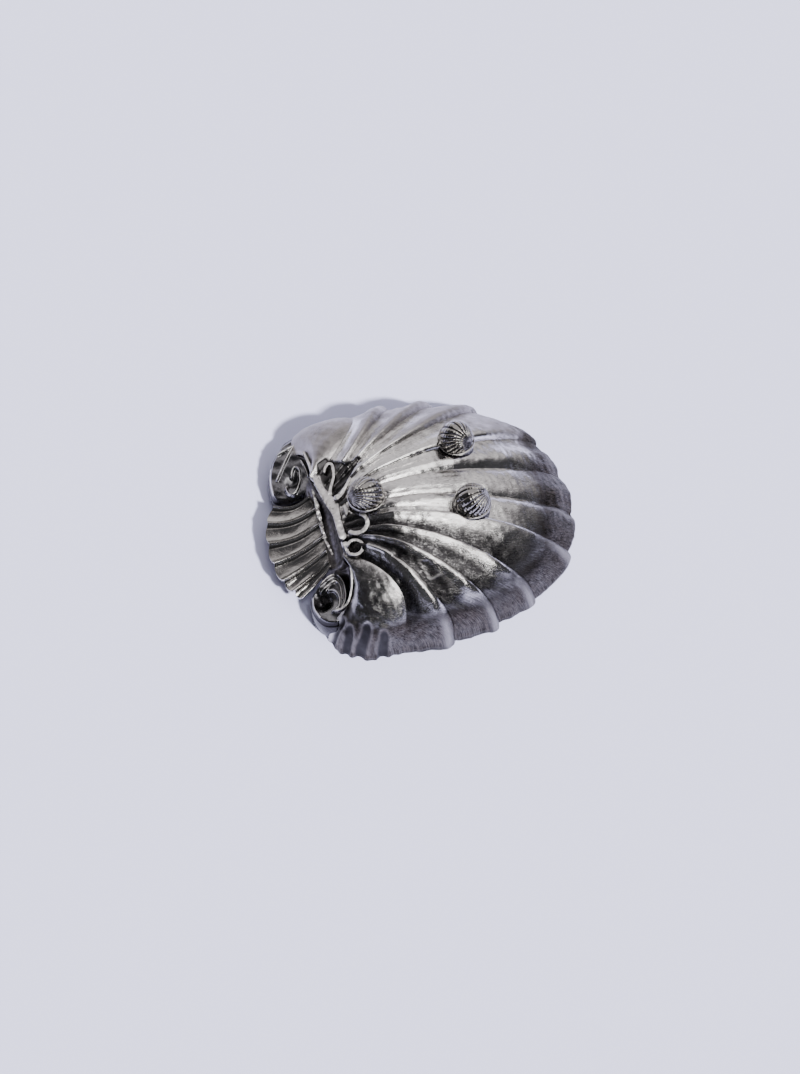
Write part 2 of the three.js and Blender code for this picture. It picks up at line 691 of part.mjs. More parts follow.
// A turned collar with a small foot where it meets the cup, a neck and a rounded lip
function collarSolid(foot, grow) {
  const top = foot.base - GAP;
  const profile = [
    [0, top - COLLAR_DEPTH - grow],
    [COLLAR_FOOT + grow, top - COLLAR_DEPTH - grow],
    [COLLAR_NECK + grow, top - COLLAR_NECK_DEPTH],
    [COLLAR_RADIUS + grow, top - COLLAR_LIP],
    [COLLAR_RADIUS + grow, top - COLLAR_BEVEL],
    [COLLAR_RADIUS - COLLAR_BEVEL + grow, top],
    [0, top],
  ].map(([r, z]) => new THREE.Vector2(r, z));
  const lathe = new THREE.LatheGeometry(profile, COLLAR_SIDES);
  lathe.rotateX(Math.PI / 2);
  lathe.translate(foot.x, foot.y, 0);
  return solidOf(lathe);
}

const feet = FEET.map((foot) => ({
  name: foot.name,
  shell: footSolid(foot),
  collar: collarSolid(foot, 0).subtract(cupClearance),
  clearance: collarSolid(foot, GAP),
}));

// The ornament

// The height of what lies under a plan point and just beside it: the highest of the given pieces
function heightUnder(pieces, x, y, beside) {
  const heights = [-beside, 0, beside].map((aside) => {
    const from = new THREE.Vector3(x + aside, y, 2 * CUP_HEIGHT);
    const hits = new THREE.Raycaster(from, new THREE.Vector3(0, 0, -1)).intersectObjects(pieces);
    return hits.length > 0 ? hits[0].point.z : 0;
  });
  return Math.max(...heights);
}

// A curve through plan points, laid on what is under it and eased along its length
function laidLine(points, pieces) {
  const plan = new THREE.CatmullRomCurve3(points.map(([x, y]) => new THREE.Vector3(x, y, 0)));
  const count = Math.max(6, Math.round(plan.getLength() / STRAP_STEP));
  const line = evenSteps(0, 1, count).map((t) => {
    const centre = plan.getPoint(t);
    const half = through(points.map((p) => p[2]), t * (points.length - 1));
    centre.z = heightUnder(pieces, centre.x, centre.y, half) + STRAP_LIFT;
    return { centre, half };
  });
  for (let pass = 0; pass < EASING_PASSES; pass += 1) {
    const eased = line.map((station, i) => {
      const before = line[Math.max(i - 1, 0)].centre.z;
      const after = line[Math.min(i + 1, count)].centre.z;
      return (before + 2 * station.centre.z + after) / 4;
    });
    line.forEach((station, i) => {
      station.centre.z = eased[i];
    });
  }
  return line;
}

// A bar with a flat top and chamfered edges, carried along a laid line
function barGeometry(line, grow) {
  const last = line.length - 1;
  const rise = STRAP_RISE + grow;
  const sink = STRAP_SINK + grow;
  const rings = line.map((station, i) => {
    const tangent = line[Math.min(i + 1, last)].centre.clone().sub(line[Math.max(i - 1, 0)].centre);
    const side = new THREE.Vector3(-tangent.y, tangent.x, 0).normalize();
    const half = station.half + grow;
    const corner = (across, height) => {
      const p = station.centre.clone().addScaledVector(side, across * half);
      p.z += height;
      return p;
    };
    return [
      corner(-1, -sink), corner(-1, STRAP_SHOULDER * rise), corner(-STRAP_FLAT, rise),
      corner(STRAP_FLAT, rise), corner(1, STRAP_SHOULDER * rise), corner(1, -sink),
    ];
  });
  const lengthen = (ring, next) => {
    const out = ring[0].clone().sub(next[0]).normalize().multiplyScalar(grow);
    ring.forEach((p) => p.add(out));
  };
  lengthen(rings[0], rings[1]);
  lengthen(rings[last], rings[last - 1]);
  return ringsGeometry(rings);
}

// An open ring or scroll of the same bar, from one bearing to another round its centre
function ringPoints(ring) {
  return evenSteps(ring.from, ring.to, 12).map((bearing) => {
    const curl = 1 - SCROLL_CURL * ((bearing - ring.from) / (ring.to - ring.from));
    return [
      ring.x + ring.radius * curl * Math.cos(degrees(bearing)),
      ring.y + ring.radius * curl * Math.sin(degrees(bearing)),
      ring.half,
    ];
  });
}

const supports = [cup, cove, ...volutes.map((volute) => volute.solid)]
  .map((solid) => new THREE.Mesh(geometryOf(solid)));
const ornament = [];
const bars = [...STRAPS, ...RINGS.map((ring) => ({ name: ring.name, points: ringPoints(ring) }))];
for (const bar of bars) {
  const line = laidLine(bar.points, supports);
  let solid = solidOf(barGeometry(line, 0)).subtract(cupClearance).subtract(coveClearance);
  volutes.forEach((volute) => {
    solid = solid.subtract(volute.clearance);
  });
  [...feet, ...ornament].forEach((other) => {
    solid = solid.subtract(other.clearance);
  });
  ornament.push({ name: bar.name, solid, clearance: solidOf(barGeometry(line, GAP)) });
}

// Assembly

const trimmedCove = mainBody(ornament.reduce((solid, bar) => solid.subtract(bar.clearance), cove));
const pieces = [
  ['cup', cup, silver],
  ['heel_cove', trimmedCove, darkSilver],
  ['thumb_fan', fan, silver],
  ...volutes.map((volute) => [volute.name, volute.solid, silver]),
  ...ornament.map((bar) => [bar.name, bar.solid, castSilver]),
  ...feet.map((foot) => [`${foot.name}_collar`, foot.collar, silver]),
  ...feet.map((foot) => [`${foot.name}_shell`, foot.shell, castSilver]),
];

const dish = new THREE.Group();
dish.name = 'shell_dish';
for (const [name, solid, finish] of pieces) {
  const mesh = new THREE.Mesh(geometryOf(solid), new THREE.MeshStandardMaterial(finish));
  mesh.name = name;
  dish.add(mesh);
}

// The frame's origin is the middle of the floor under the whole dish
const middle = new THREE.Box3().setFromObject(dish).getCenter(new THREE.Vector3());
dish.children.forEach((mesh) => mesh.geometry.translate(-middle.x, -middle.y, 0));

export default dish;
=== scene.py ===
# %% [markdown]
# # A silver shell dish, turned over on its rim
# The dish is a baptismal shell: a fluted cup on three small shell feet, with a fan-shaped thumb
# piece at its hinge. It lies upside down, so we look at its underside and its feet point up.
# The CAD model gives the frame: where each piece is and how big it is. This lesson replaces its
# coarse solids by fine surfaces, each worked out from a formula, and gives every surface a finish.

# %% Load the frame
import math

import bpy
import numpy as np
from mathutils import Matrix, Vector
from mathutils.bvhtree import BVHTree


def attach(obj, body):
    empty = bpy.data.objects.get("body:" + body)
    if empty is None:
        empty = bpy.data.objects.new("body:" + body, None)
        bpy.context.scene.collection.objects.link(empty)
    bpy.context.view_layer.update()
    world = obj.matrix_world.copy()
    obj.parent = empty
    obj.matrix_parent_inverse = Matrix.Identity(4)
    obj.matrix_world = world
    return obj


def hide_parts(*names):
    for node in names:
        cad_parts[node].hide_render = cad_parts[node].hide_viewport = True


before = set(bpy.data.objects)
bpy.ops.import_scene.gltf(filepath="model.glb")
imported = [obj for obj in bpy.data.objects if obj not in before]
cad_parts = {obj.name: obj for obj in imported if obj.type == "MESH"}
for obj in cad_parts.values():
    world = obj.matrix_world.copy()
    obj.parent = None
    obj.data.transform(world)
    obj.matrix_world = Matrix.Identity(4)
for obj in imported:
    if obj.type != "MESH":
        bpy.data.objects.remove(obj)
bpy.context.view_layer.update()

# %% [markdown]
# ## Units and helpers
# The formulas work in millimetres, with the rim on z = 0, x from the hinge to the lip and y to the
# left. A shape is a grid of points, one array for all of them, so a thousand points cost one line
# of arithmetic and no loop. Grids are stitched into closed walls and turned into metres at the end.

# %% Helpers for curves and fields
MILLIMETRE = 0.001
TINY = 1e-9


def smooth(x, low, high):
    """0 below low, 1 above high, and an s-shaped ramp t*t*(3 - 2t) between them."""
    t = np.clip((np.asarray(x, float) - low) / (high - low), 0.0, 1.0)
    return t * t * (3.0 - 2.0 * t)


def bell(x, middle, half):
    """A soft bump, 1 high at middle: exp(-((x - middle) / half)^2)."""
    return np.exp(-(((x - middle) / half) ** 2))


def bow(start, middle, end, s):
    """A curve of three points: (1-s)^2 start + 2s(1-s) middle + s^2 end, for s from 0 to 1."""
    return (1 - s) ** 2 * start + 2 * s * (1 - s) * middle + s * s * end


def through(values, t):
    """A curve through values, one step of t apart: each piece is the cubic whose slopes at its
    ends are half the difference of the values on either side."""
    values = np.asarray(values, float)
    t = np.asarray(t, float)
    last = len(values) - 1
    i = np.clip(np.floor(t).astype(int), 0, last - 1)
    f = t - i
    e = np.concatenate([[2 * values[0] - values[1]], values, [2 * values[-1] - values[-2]]])
    a, b, c, d = e[i], e[i + 1], e[i + 2], e[i + 3]
    curved = (2 * a - 5 * b + 4 * c - d) * f**2 + (3 * b - a - 3 * c + d) * f**3
    return 0.5 * (2 * b + (c - a) * f + curved)


WAVES = 12


def ripple(x, y, scale, seed):
    """A smooth random field from -1 to 1: twelve sine waves that run in random directions, with
    wavelengths near scale, are added up, divided by four and cut off at the ends."""
    rng = np.random.default_rng(seed)
    angle = rng.uniform(0, 2 * np.pi, WAVES)
    length = scale * rng.uniform(0.6, 1.7, WAVES)
    phase = rng.uniform(0, 2 * np.pi, WAVES)
    total = 0.0
    for a, w, f in zip(angle, length, phase):
        total = total + np.sin(2 * np.pi * (x * np.cos(a) + y * np.sin(a)) / w + f)
    return np.clip(total / 4.0, -1.0, 1.0)


# %% Helpers for grids
def grid_normals(p):
    """Unit normals of a grid of points: the cross product of its two differences."""
    n = np.cross(np.gradient(p, axis=1), np.gradient(p, axis=0))
    return n / np.maximum(np.linalg.norm(n, axis=-1, keepdims=True), TINY)


def grid_faces(rows, columns, start=0, flip=False, around=False):
    """Quads between neighbours of a grid; around also joins the last column to the first."""
    across = columns if around else columns - 1
    i, j = np.meshgrid(np.arange(rows - 1), np.arange(across), indexing="ij")
    here, below, k = i * columns, (i + 1) * columns, (j + 1) % columns
    quads = np.stack([here + j, here + k, below + k, below + j], -1).reshape(-1, 4) + start
    return quads[:, ::-1] if flip else quads


def rim_faces(rows, columns):
    """Quads that join the four edges of one grid to those of a second grid of the same size."""
    top, far = np.arange(columns), np.arange(columns) + (rows - 1) * columns
    left, right = np.arange(rows) * columns, np.arange(rows) * columns + columns - 1
    size = rows * columns
    loops = [top[::-1], far, left, right[::-1]]
    return np.concatenate([np.stack([e[:-1], e[1:], e[1:] + size, e[:-1] + size], -1) for e in loops])


def disc_grid(steps):
    """A square grid bent into a disc, so that it has no pole: how far out each point lies, from
    0 to 1, and its turn round the middle, also from 0 to 1."""
    line = np.linspace(-1.0, 1.0, steps)
    u, v = np.meshgrid(line, line, indexing="ij")
    return np.maximum(np.abs(u), np.abs(v)), np.mod(np.arctan2(v, u) / (2 * np.pi), 1.0)


def closed_patch(top, bottom):
    """Points and faces of two grids that share their outline, stitched into one closed body."""
    rows, columns = top.shape[:2]
    points = np.concatenate([top.reshape(-1, 3), bottom.reshape(-1, 3)])
    faces = np.concatenate([
        grid_faces(rows, columns),
        grid_faces(rows, columns, start=rows * columns, flip=True),
        rim_faces(rows, columns),
    ])
    return points, faces


def capped_tube(rings):
    """Points and faces of rings of points along a line, each end closed by a strip of quads."""
    rows, columns = rings.shape[:2]
    j = np.arange(columns // 2 - 1)
    strip = np.stack([j, j + 1, columns - 2 - j, columns - 1 - j], -1)
    faces = [grid_faces(rows, columns, around=True), strip[:, ::-1], strip + (rows - 1) * columns]
    return rings.reshape(-1, 3), np.concatenate(faces)


# %% From arrays to a mesh
def turned_out(points, faces):
    """The faces, all reversed if the volume that they enclose comes out negative."""
    tri = np.concatenate([faces[:, :3], faces[:, [0, 2, 3]]])
    a, b, c = (points[tri[:, k]] for k in range(3))
    volume = np.einsum("ij,ij->i", a, np.cross(b, c)).sum() / 6.0
    return faces if volume > 0 else faces[:, ::-1]


def make_piece(name, points, faces, material, replaces=(), slot=None, **attributes):
    """One smooth mesh from an array of points in mm and an array of quads. Each attribute is one
    number per point, which the material can read."""
    points = points.reshape(-1, 3)
    faces = turned_out(points, faces)
    mesh = bpy.data.meshes.new(name)
    mesh.vertices.add(len(points))
    mesh.loops.add(faces.size)
    mesh.polygons.add(len(faces))
    mesh.vertices.foreach_set("co", (points * MILLIMETRE).astype(np.float32).ravel())
    mesh.loops.foreach_set("vertex_index", faces.astype(np.int32).ravel())
    mesh.polygons.foreach_set("loop_start", np.arange(0, faces.size, 4, dtype=np.int32))
    mesh.polygons.foreach_set("loop_total", np.full(len(faces), 4, np.int32))
    mesh.polygons.foreach_set("use_smooth", np.ones(len(faces), bool))
    mesh.update(calc_edges=True)
    for key, values in attributes.items():
        layer = mesh.attributes.new(key, "FLOAT", "POINT")
        layer.data.foreach_set("value", np.asarray(values, np.float32).ravel())
    mesh.materials.append(material)
    piece = bpy.data.objects.new(name, mesh)
    bpy.context.scene.collection.objects.link(piece)
    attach(piece, "root")
    if replaces:
        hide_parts(*replaces)
    print(f"{name}: {len(points)} points, {2 * len(faces)} triangles")
    return piece


# %% [markdown]
# ## The cup's form
# The cup was raised from one sheet over a stake, then fluted. So the form is built the same way:
# first a smooth dome, boxy along its sides, easy at the lip, and sinking towards the hinge; then
# ribs that stand proud of it along its normals. Rib lines fan out from the hinge and bend to the
# rim, each a curve of three points. Modelling the ribs by hand would leave them uneven, and a
# formula also tells us later where each groove is, so that tarnish can gather there.

# %% The dome
CUP_HEIGHT = 41.5
CUP_CENTRE_X = -10.0
CUP_HALF_WIDTH = 64.3
LIP_REACH = 84.5
HEEL_REACH = 55.0
LIP_POWER_LEFT, LIP_POWER_RIGHT = 2.55, 2.1
HEEL_POWER_LEFT, HEEL_POWER_RIGHT = 4.6, 3.6
ROUNDNESS_AT_SIDE, ROUNDNESS_AT_LIP = 2.8, 1.55
STEEPNESS_AT_SIDE, STEEPNESS_AT_LIP = 2.4, 1.3
LIP_BLEND = 0.7
HEEL_DROP, HEEL_DROP_START, HEEL_DROP_RUN = 8.5, -14.0, 32.0
JUST_INSIDE_RIM = 0.997


def reach(x, y):
    """How far out a plan point lies, 0 at the centre and 1 on the rim: super-ellipses, round
    towards the lip and boxy towards the heel, a little boxier on the left."""
    forward = x > CUP_CENTRE_X
    lip_power = np.where(y > 0, LIP_POWER_LEFT, LIP_POWER_RIGHT)
    heel_power = np.where(y > 0, HEEL_POWER_LEFT, HEEL_POWER_RIGHT)
    power = np.where(forward, lip_power, heel_power)
    along = np.abs(x - CUP_CENTRE_X) / np.where(forward, LIP_REACH, HEEL_REACH)
    return (along**power + (np.abs(y) / CUP_HALF_WIDTH) ** power) ** (1.0 / power)


def dome_height(x, y):
    """Height times (1 - reach^n)^(1/m), where n and m ease with the bearing from the steep sides
    to the easy lip, less the drop towards the hinge."""
    along = (np.maximum(0.0, x - CUP_CENTRE_X) / LIP_REACH) ** 2
    aside = (y / CUP_HALF_WIDTH) ** 2
    lip = (along / np.maximum(along + aside, TINY)) ** LIP_BLEND
    roundness = ROUNDNESS_AT_SIDE + (ROUNDNESS_AT_LIP - ROUNDNESS_AT_SIDE) * lip
    steepness = STEEPNESS_AT_SIDE + (STEEPNESS_AT_LIP - STEEPNESS_AT_SIDE) * lip
    share = np.maximum(0.0, 1.0 - reach(x, y) ** roundness) ** (1.0 / steepness)
    return (CUP_HEIGHT - HEEL_DROP * smooth(HEEL_DROP_START - x, 0.0, HEEL_DROP_RUN)) * share


def dome_normal(x, y, step=0.02):
    """The dome's normal by central differences, read just inside the rim, where it is finite."""
    inward = np.minimum(1.0, JUST_INSIDE_RIM / np.maximum(reach(x, y), TINY))
    px, py = CUP_CENTRE_X + (x - CUP_CENTRE_X) * inward, y * inward
    slope_x = (dome_height(px + step, py) - dome_height(px - step, py)) / (2 * step)
    slope_y = (dome_height(px, py + step) - dome_height(px, py - step)) / (2 * step)
    n = np.stack([-slope_x, -slope_y, np.ones_like(slope_x)], -1)
    return n / np.linalg.norm(n, axis=-1, keepdims=True)


print("dome over its centre, mm:", float(dome_height(CUP_CENTRE_X, 0.0)))

# %% Rib lines
RIBS = 5  # on each side of the middle rib
EAR_RIBS = 2.0  # an ear is as wide as this many ribs
EAR_START = RIBS + 0.5
EDGE_LINE = EAR_START + EAR_RIBS
HINGE_X = -42.5
HINGE_SWING, HINGE_SWING_WIDTH = 5.5, 22.0
LEFT_EAR_SWING = 4.0
GROOVE_START_Y = [2.6, 6.4, 9, 11.5, 15.3, 21, 23.5, 26]
GROOVE_BEND = np.array([
    [10, 5.8], [6, 15.5], [8, 27], [-14, 24.5], [-21, 25], [-12, 49], [-28, 47], [-41, 44],
])
GROOVE_END = np.array([
    [76, 11.2], [65, 31], [42, 51.5], [22.5, 60], [0, 63.5], [-25.5, 64], [-44.5, 60], [-57.5, 48],
])


def over_grooves(values, line, mirror):
    """A table over the grooves of one side, mirrored to the other and read at a rib line."""
    values = np.asarray(values, float)
    return through(np.concatenate([mirror * values[::-1], values]), line - 0.5 + len(values))


def hinge_x(y):
    """The hinge line, which swings back on the left."""
    return HINGE_X - HINGE_SWING * smooth(y, 0.0, HINGE_SWING_WIDTH)


def rib_line_in_plan(line, s):
    """The point on a rib line, the share s of the way from the hinge to the rim. Line 0 is the
    middle rib, whole numbers are the ribs to its left, and negative ones those to its right."""
    start_y = over_grooves(GROOVE_START_Y, line, -1)
    bend_x = over_grooves(GROOVE_BEND[:, 0], line, 1)
    bend_x = bend_x - LEFT_EAR_SWING * smooth(line, EAR_START, EDGE_LINE)
    bend_y = over_grooves(GROOVE_BEND[:, 1], line, -1)
    end_x = over_grooves(GROOVE_END[:, 0], line, 1)
    end_y = over_grooves(GROOVE_END[:, 1], line, -1)
    far = reach(end_x, end_y)
    end_x, end_y = CUP_CENTRE_X + (end_x - CUP_CENTRE_X) / far, end_y / far
    return bow(hinge_x(start_y), bend_x, end_x, s), bow(start_y, bend_y, end_y, s)


print("rib lines on each side:", EDGE_LINE)

# %% Ribs and ears
RIB_WIDTH_AT_HINGE, RIB_WIDTH_AT_RIM = 3.2, 24.0
RIB_SPREAD = 1.15
RIB_DEPTH_TO_WIDTH = 0.13
RIB_FADE_AT_RIM, RIM_FADE_FROM = 0.35, 0.7
ARCH_CREST, ARCH_POWER = 0.2, 2.2
LAP_RISE, LAP_RUN, LAP_FADE = 2.6, 0.11, 0.25
GROOVE_SINK = 0.64
EAR_SWELL_LEFT, EAR_SWELL_RIGHT = 2.6, 1.2
EAR_POWER = 0.8
EAR_EDGE_DROP, EAR_EDGE_FROM, EAR_EDGE_EASING = 4.0, 0.7, 0.6
LIP_FLARE_HEIGHT = 6.0


def rib_rise(line, s):
    """Ribs lap like waves: with v from 0 at the groove nearer the middle to 1 at the next groove,
    the rise is depth * (2.6 (1 - exp(-v / 0.11)) (1 - v)^2 - 0.64), steep up to a crest and hollow
    after it. The middle rib is even, depth * (0.2 - |2u|^2.2) with u from its own middle, and so
    are all ribs at the hinge. An ear is one wide swell sin(pi e)^0.8 that drops at its free edge."""
    d = np.abs(line)
    share = np.maximum(0.0, s)
    width = RIB_WIDTH_AT_HINGE + (RIB_WIDTH_AT_RIM - RIB_WIDTH_AT_HINGE) * share**RIB_SPREAD
    depth = RIB_DEPTH_TO_WIDTH * width * (1.0 - RIB_FADE_AT_RIM * smooth(share, RIM_FADE_FROM, 1.0))
    u = d - np.round(d)
    v = np.clip(u + 0.5, 0.0, 1.0)
    wave = LAP_RISE * (1.0 - np.exp(-v / LAP_RUN)) * (1.0 - v) ** 2 - GROOVE_SINK
    arch = ARCH_CREST - np.abs(2 * u) ** ARCH_POWER
    lapped = smooth(d, 0.5, 1.5) * smooth(share, 0.0, LAP_FADE)
    rib = depth * (lapped * wave + (1.0 - lapped) * arch)
    e = np.clip((d - EAR_START) / EAR_RIBS, 0.0, 1.0)
    swell = np.sin(np.pi * e) ** EAR_POWER
    proud = np.where(line > 0, EAR_SWELL_LEFT, EAR_SWELL_RIGHT) * (1.0 - share**10)
    edge = EAR_EDGE_DROP * smooth(e, EAR_EDGE_FROM, 1.0) * (1.0 - EAR_EDGE_EASING * s)
    ear = (ARCH_CREST * depth + proud) * swell - GROOVE_SINK * depth * (1 - swell) - edge
    return np.where(d <= EAR_START, rib, ear)


def cup_surface(line, s):
    """The dome point on a rib line, moved along the dome's normal by the rib and the lip's flare."""
    line, s = np.broadcast_arrays(np.asarray(line, float), np.asarray(s, float))
    x, y = rib_line_in_plan(line, s)
    z = dome_height(x, y)
    lift = rib_rise(line, s) + np.maximum(0.0, 1.0 - z / LIP_FLARE_HEIGHT) ** 2
    return np.stack([x, y, z], -1) + dome_normal(x, y) * lift[..., None]


print("cup at the middle of the lip, mm:", np.round(cup_surface(0.0, 1.0), 1))

# %% [markdown]
# ## Silver
# Polished silver has almost no colour of its own: it shows what is round it. What makes it look
# real is what breaks the mirror. Here that is a soft unevenness from raising, fine scratches from
# a century of cleaning, and tarnish that stays where a cloth can't reach. Each piece's formula
# writes attributes, one number per point, and the finish reads them: hollow darkens the metal,
# with tarnish in grooves and with painted shade in recesses and on faces towards the near side;
# worn pales edges that hands rub, and on raised ridges and beads it is partly a painted highlight;
# patina_and_shade lays a matt brown patina, real at the lip and painted shade on the near side;
# and aged adds a grey bloom. On the cup, across and along draw the noise out into streaks beside
# the ribs.


# %% Helpers for node trees
class Field:
    """A value that varies over a surface, such as a noise or a colour: one output of a node. A sum
    of fields and numbers adds the nodes that work it out."""

    def __init__(self, nodes, socket):
        self.nodes, self.socket = nodes, socket

    def __add__(self, other):
        return self.nodes.maths("ADD", self, other)

    def __sub__(self, other):
        return self.nodes.maths("SUBTRACT", self, other)

    def __mul__(self, other):
        return self.nodes.maths("MULTIPLY", self, other)

    def __pow__(self, other):
        return self.nodes.maths("POWER", self, other)

    def sway(self, amount):
        """A noise of 0 to 1, moved to lie evenly round 0 and scaled."""
        return (self - 0.5) * amount

    def ramp(self, low, high, interpolation="LINEAR"):
        """0 to 1 as the field rises from low to high."""
        return self.nodes.add("ShaderNodeMapRange", interpolation_type=interpolation, From_Min=low,
                              From_Max=high, Value=self)


class Nodes:
    """The nodes of one tree, which starts empty."""

    def __init__(self, tree):
        tree.nodes.clear()
        self.tree = tree

    def feed(self, socket, value):
        """Links an input to a field, or sets it to a number, a vector or a colour."""
        if isinstance(value, Field):
            self.tree.links.new(value.socket, socket)
        elif socket.type == "RGBA":
            socket.default_value = (*value, 1.0)
        else:
            socket.default_value = value

    def add(self, kind, output=0, **values):
        """Adds a node, sets its values and gives one of its outputs. Each name is one of the
        node's own settings or, with _ for a space, one of its inputs."""
        node = self.tree.nodes.new(kind)
        for key, value in values.items():
            if hasattr(node, key) and key not in node.inputs:
                setattr(node, key, value)
            else:
                self.feed(node.inputs[key.replace("_", " ")], value)
        return Field(self, node.outputs[output]) if len(node.outputs) else None

    def maths(self, operation, *values, kind="ShaderNodeMath", output=0):
        """One step of arithmetic, on numbers or, with the other kind of node, on vectors."""
        node = self.tree.nodes.new(kind)
        node.operation = operation
        for socket, value in zip(node.inputs, values):
            self.feed(socket, value)
        return Field(self, node.outputs[output])

    def noise(self, pattern, place):
        scale, detail, roughness = pattern
        return self.add("ShaderNodeTexNoise", Scale=scale, Detail=detail, Roughness=roughness,
                        Vector=place)

    def attribute(self, key):
        return self.add("ShaderNodeAttribute", "Fac", attribute_name=key)

    def blend(self, first, second, factor):
        """The first colour where the factor is 0, the second where it is 1."""
        return self.add("ShaderNodeMix", "Result", data_type="RGBA", A=first, B=second, Factor=factor)


def new_material(name):
    """An empty material and its nodes."""
    material = bpy.data.materials.new(name)
    material.use_nodes = True
    return material, Nodes(material.node_tree)


# %% A silver finish
# Each pattern of noise is a scale, a detail and a roughness.
BLOTCH, CLOUD, SPECK = (70, 6, 0.65), (240, 4, 0.6), (1100, 3, 0.75)
STREAK, SCRATCH = (1.0, 5, 0.7), (3.5, 3, 0.7)
DENT, HAMMER_MARK, BRUSHED = (150, 2, 0.5), (480, 3, 0.6), (1.0, 2, 0.6)
BRUSH_SCALE = (260.0, 2600.0, 2600.0)
PATINA_DARK, PATINA_PALE = (0.016, 0.013, 0.012), (0.20, 0.172, 0.152)
WORN_COLOUR = (0.88, 0.85, 0.84)
BLOOM_SHARE, BLOOM_TINT = 0.46, (0.035, 0.02, 0.02)
SPECK_SHARE, STREAK_SHARE = 0.3, 0.22
BLOOM_RANGE, TARNISH_AND_SHADE_RANGE, DULL_RANGE = (0.62, 1.25), (0.22, 0.95), (0.15, 0.75)
PATINA_RANGE, SPECK_RANGE, STREAK_RANGE = (0.45, 0.64), (0.60, 0.72), (0.50, 0.72)
ROUGH_TARNISH_AND_SHADE, ROUGH_BLOOM, ROUGH_WORN, ROUGH_DULL, ROUGH_CLOUD = 0.12, 0.36, 0.18, 0.24, 0.25
LEAST_ROUGH = 0.06


def silver(name, colour, tarnish, shine, dents, hammered, scratches, pits,
           age=0.1, mottle=1.0, streaks=False):
    """Silver: colour is the clean metal, tarnish the colour of tarnish in hollows and of painted
    shade, shine the roughness of the clean metal. Depths are in mm: slow dents, the marks of the
    planishing hammer, scratches, and pits of cast or corroded metal. Age is how far a grey bloom
    has spread, mottle how patchy the tarnish and painted shade are. With streaks, the noise runs
    along the attributes across and along."""
    material, nodes = new_material(name)
    place = nodes.add("ShaderNodeTexCoord", "Object")
    hollow, aged, patina_and_shade, worn = (nodes.attribute(key) for key in ("hollow", "aged", "patina_and_shade", "worn"))
    blotch, cloud, speck = (nodes.noise(pattern, place) for pattern in (BLOTCH, CLOUD, SPECK))
    if streaks:
        across, along = nodes.attribute("across"), nodes.attribute("along")
        beside_ribs = nodes.add("ShaderNodeCombineXYZ", X=across, Y=along)
        cloud = cloud * 0.4 + nodes.noise(STREAK, beside_ribs) * 0.6
        fine = nodes.noise(SCRATCH, beside_ribs)
    else:
        brush = nodes.add("ShaderNodeMapping", Vector=place, Scale=BRUSH_SCALE)
        fine = nodes.noise(BRUSHED, brush)

    # How far each change of the metal has gone, from 0 to 1: tarnish_and_shade is tarnish in
    # hollows and painted shade, dullness a brown patina that is partly painted shade.
    bloom = (aged + (age - 0.5) + (blotch + cloud) * 0.85).ramp(*BLOOM_RANGE)
    tarnish_and_shade = (hollow + cloud.sway(1.6 * mottle) + speck.sway(1.1 * mottle)).ramp(*TARNISH_AND_SHADE_RANGE)
    dullness = (patina_and_shade + blotch.sway(0.9) + cloud.sway(1.3) + fine.sway(1.1)).ramp(*DULL_RANGE)
    dullness = dullness * nodes.maths("GREATER_THAN", patina_and_shade, 0.01)

    # The colour: metal, grey bloom, brown patina partly as painted shade, dark specks and streaks,
    # tarnish with painted shade, pale edges partly as painted highlights.
    grain = speck * 0.2 + (fine + cloud) * 0.4
    patina = nodes.blend(PATINA_DARK, PATINA_PALE, grain.ramp(*PATINA_RANGE))
    bloomed = tuple(BLOOM_SHARE * c + tint for c, tint in zip(colour, BLOOM_TINT))
    metal = nodes.blend(nodes.blend(colour, bloomed, bloom), patina, dullness)
    specked, streaked = (tuple(share * c for c in colour) for share in (SPECK_SHARE, STREAK_SHARE))
    metal = nodes.blend(metal, specked, speck.ramp(*SPECK_RANGE) * 0.5)
    if streaks:
        metal = nodes.blend(metal, streaked, (fine + blotch.sway(0.8)).ramp(*STREAK_RANGE) * 0.7)
    base_colour = nodes.blend(nodes.blend(metal, tarnish, tarnish_and_shade), WORN_COLOUR, worn)

    # The shine: tarnish, patina, painted shade and wear all roughen the metal.
    rough = tarnish_and_shade * ROUGH_TARNISH_AND_SHADE + bloom * ROUGH_BLOOM + worn * ROUGH_WORN + dullness * ROUGH_DULL
    rough = nodes.maths("MAXIMUM", rough + cloud.sway(ROUGH_CLOUD) + shine, LEAST_ROUGH)

    # The relief, in mm.
    height = nodes.noise(DENT, place) * dents + nodes.noise(HAMMER_MARK, place) * hammered
    height = height + fine * scratches + speck**2.0 * pits
    relief = nodes.add("ShaderNodeBump", Strength=1.0, Distance=MILLIMETRE, Height=height)
    metal = nodes.add("ShaderNodeBsdfPrincipled", Metallic=1.0, Base_Color=base_colour,
                      Roughness=rough, Normal=relief)
    nodes.add("ShaderNodeOutputMaterial", Surface=metal)
    return material


# %% The finishes
polished_silver = silver(
    "polished_silver", (0.80, 0.78, 0.77), (0.035, 0.033, 0.035), 0.12, dents=0.09, hammered=0.085,
    scratches=0.06, pits=0.05, age=0.0, mottle=0.65, streaks=True)
cast_silver = silver(
    "cast_silver", (0.80, 0.77, 0.76), (0.06, 0.055, 0.055), 0.28, dents=0.05, hammered=0.08,
    scratches=0.01, pits=0.12, age=0.25)
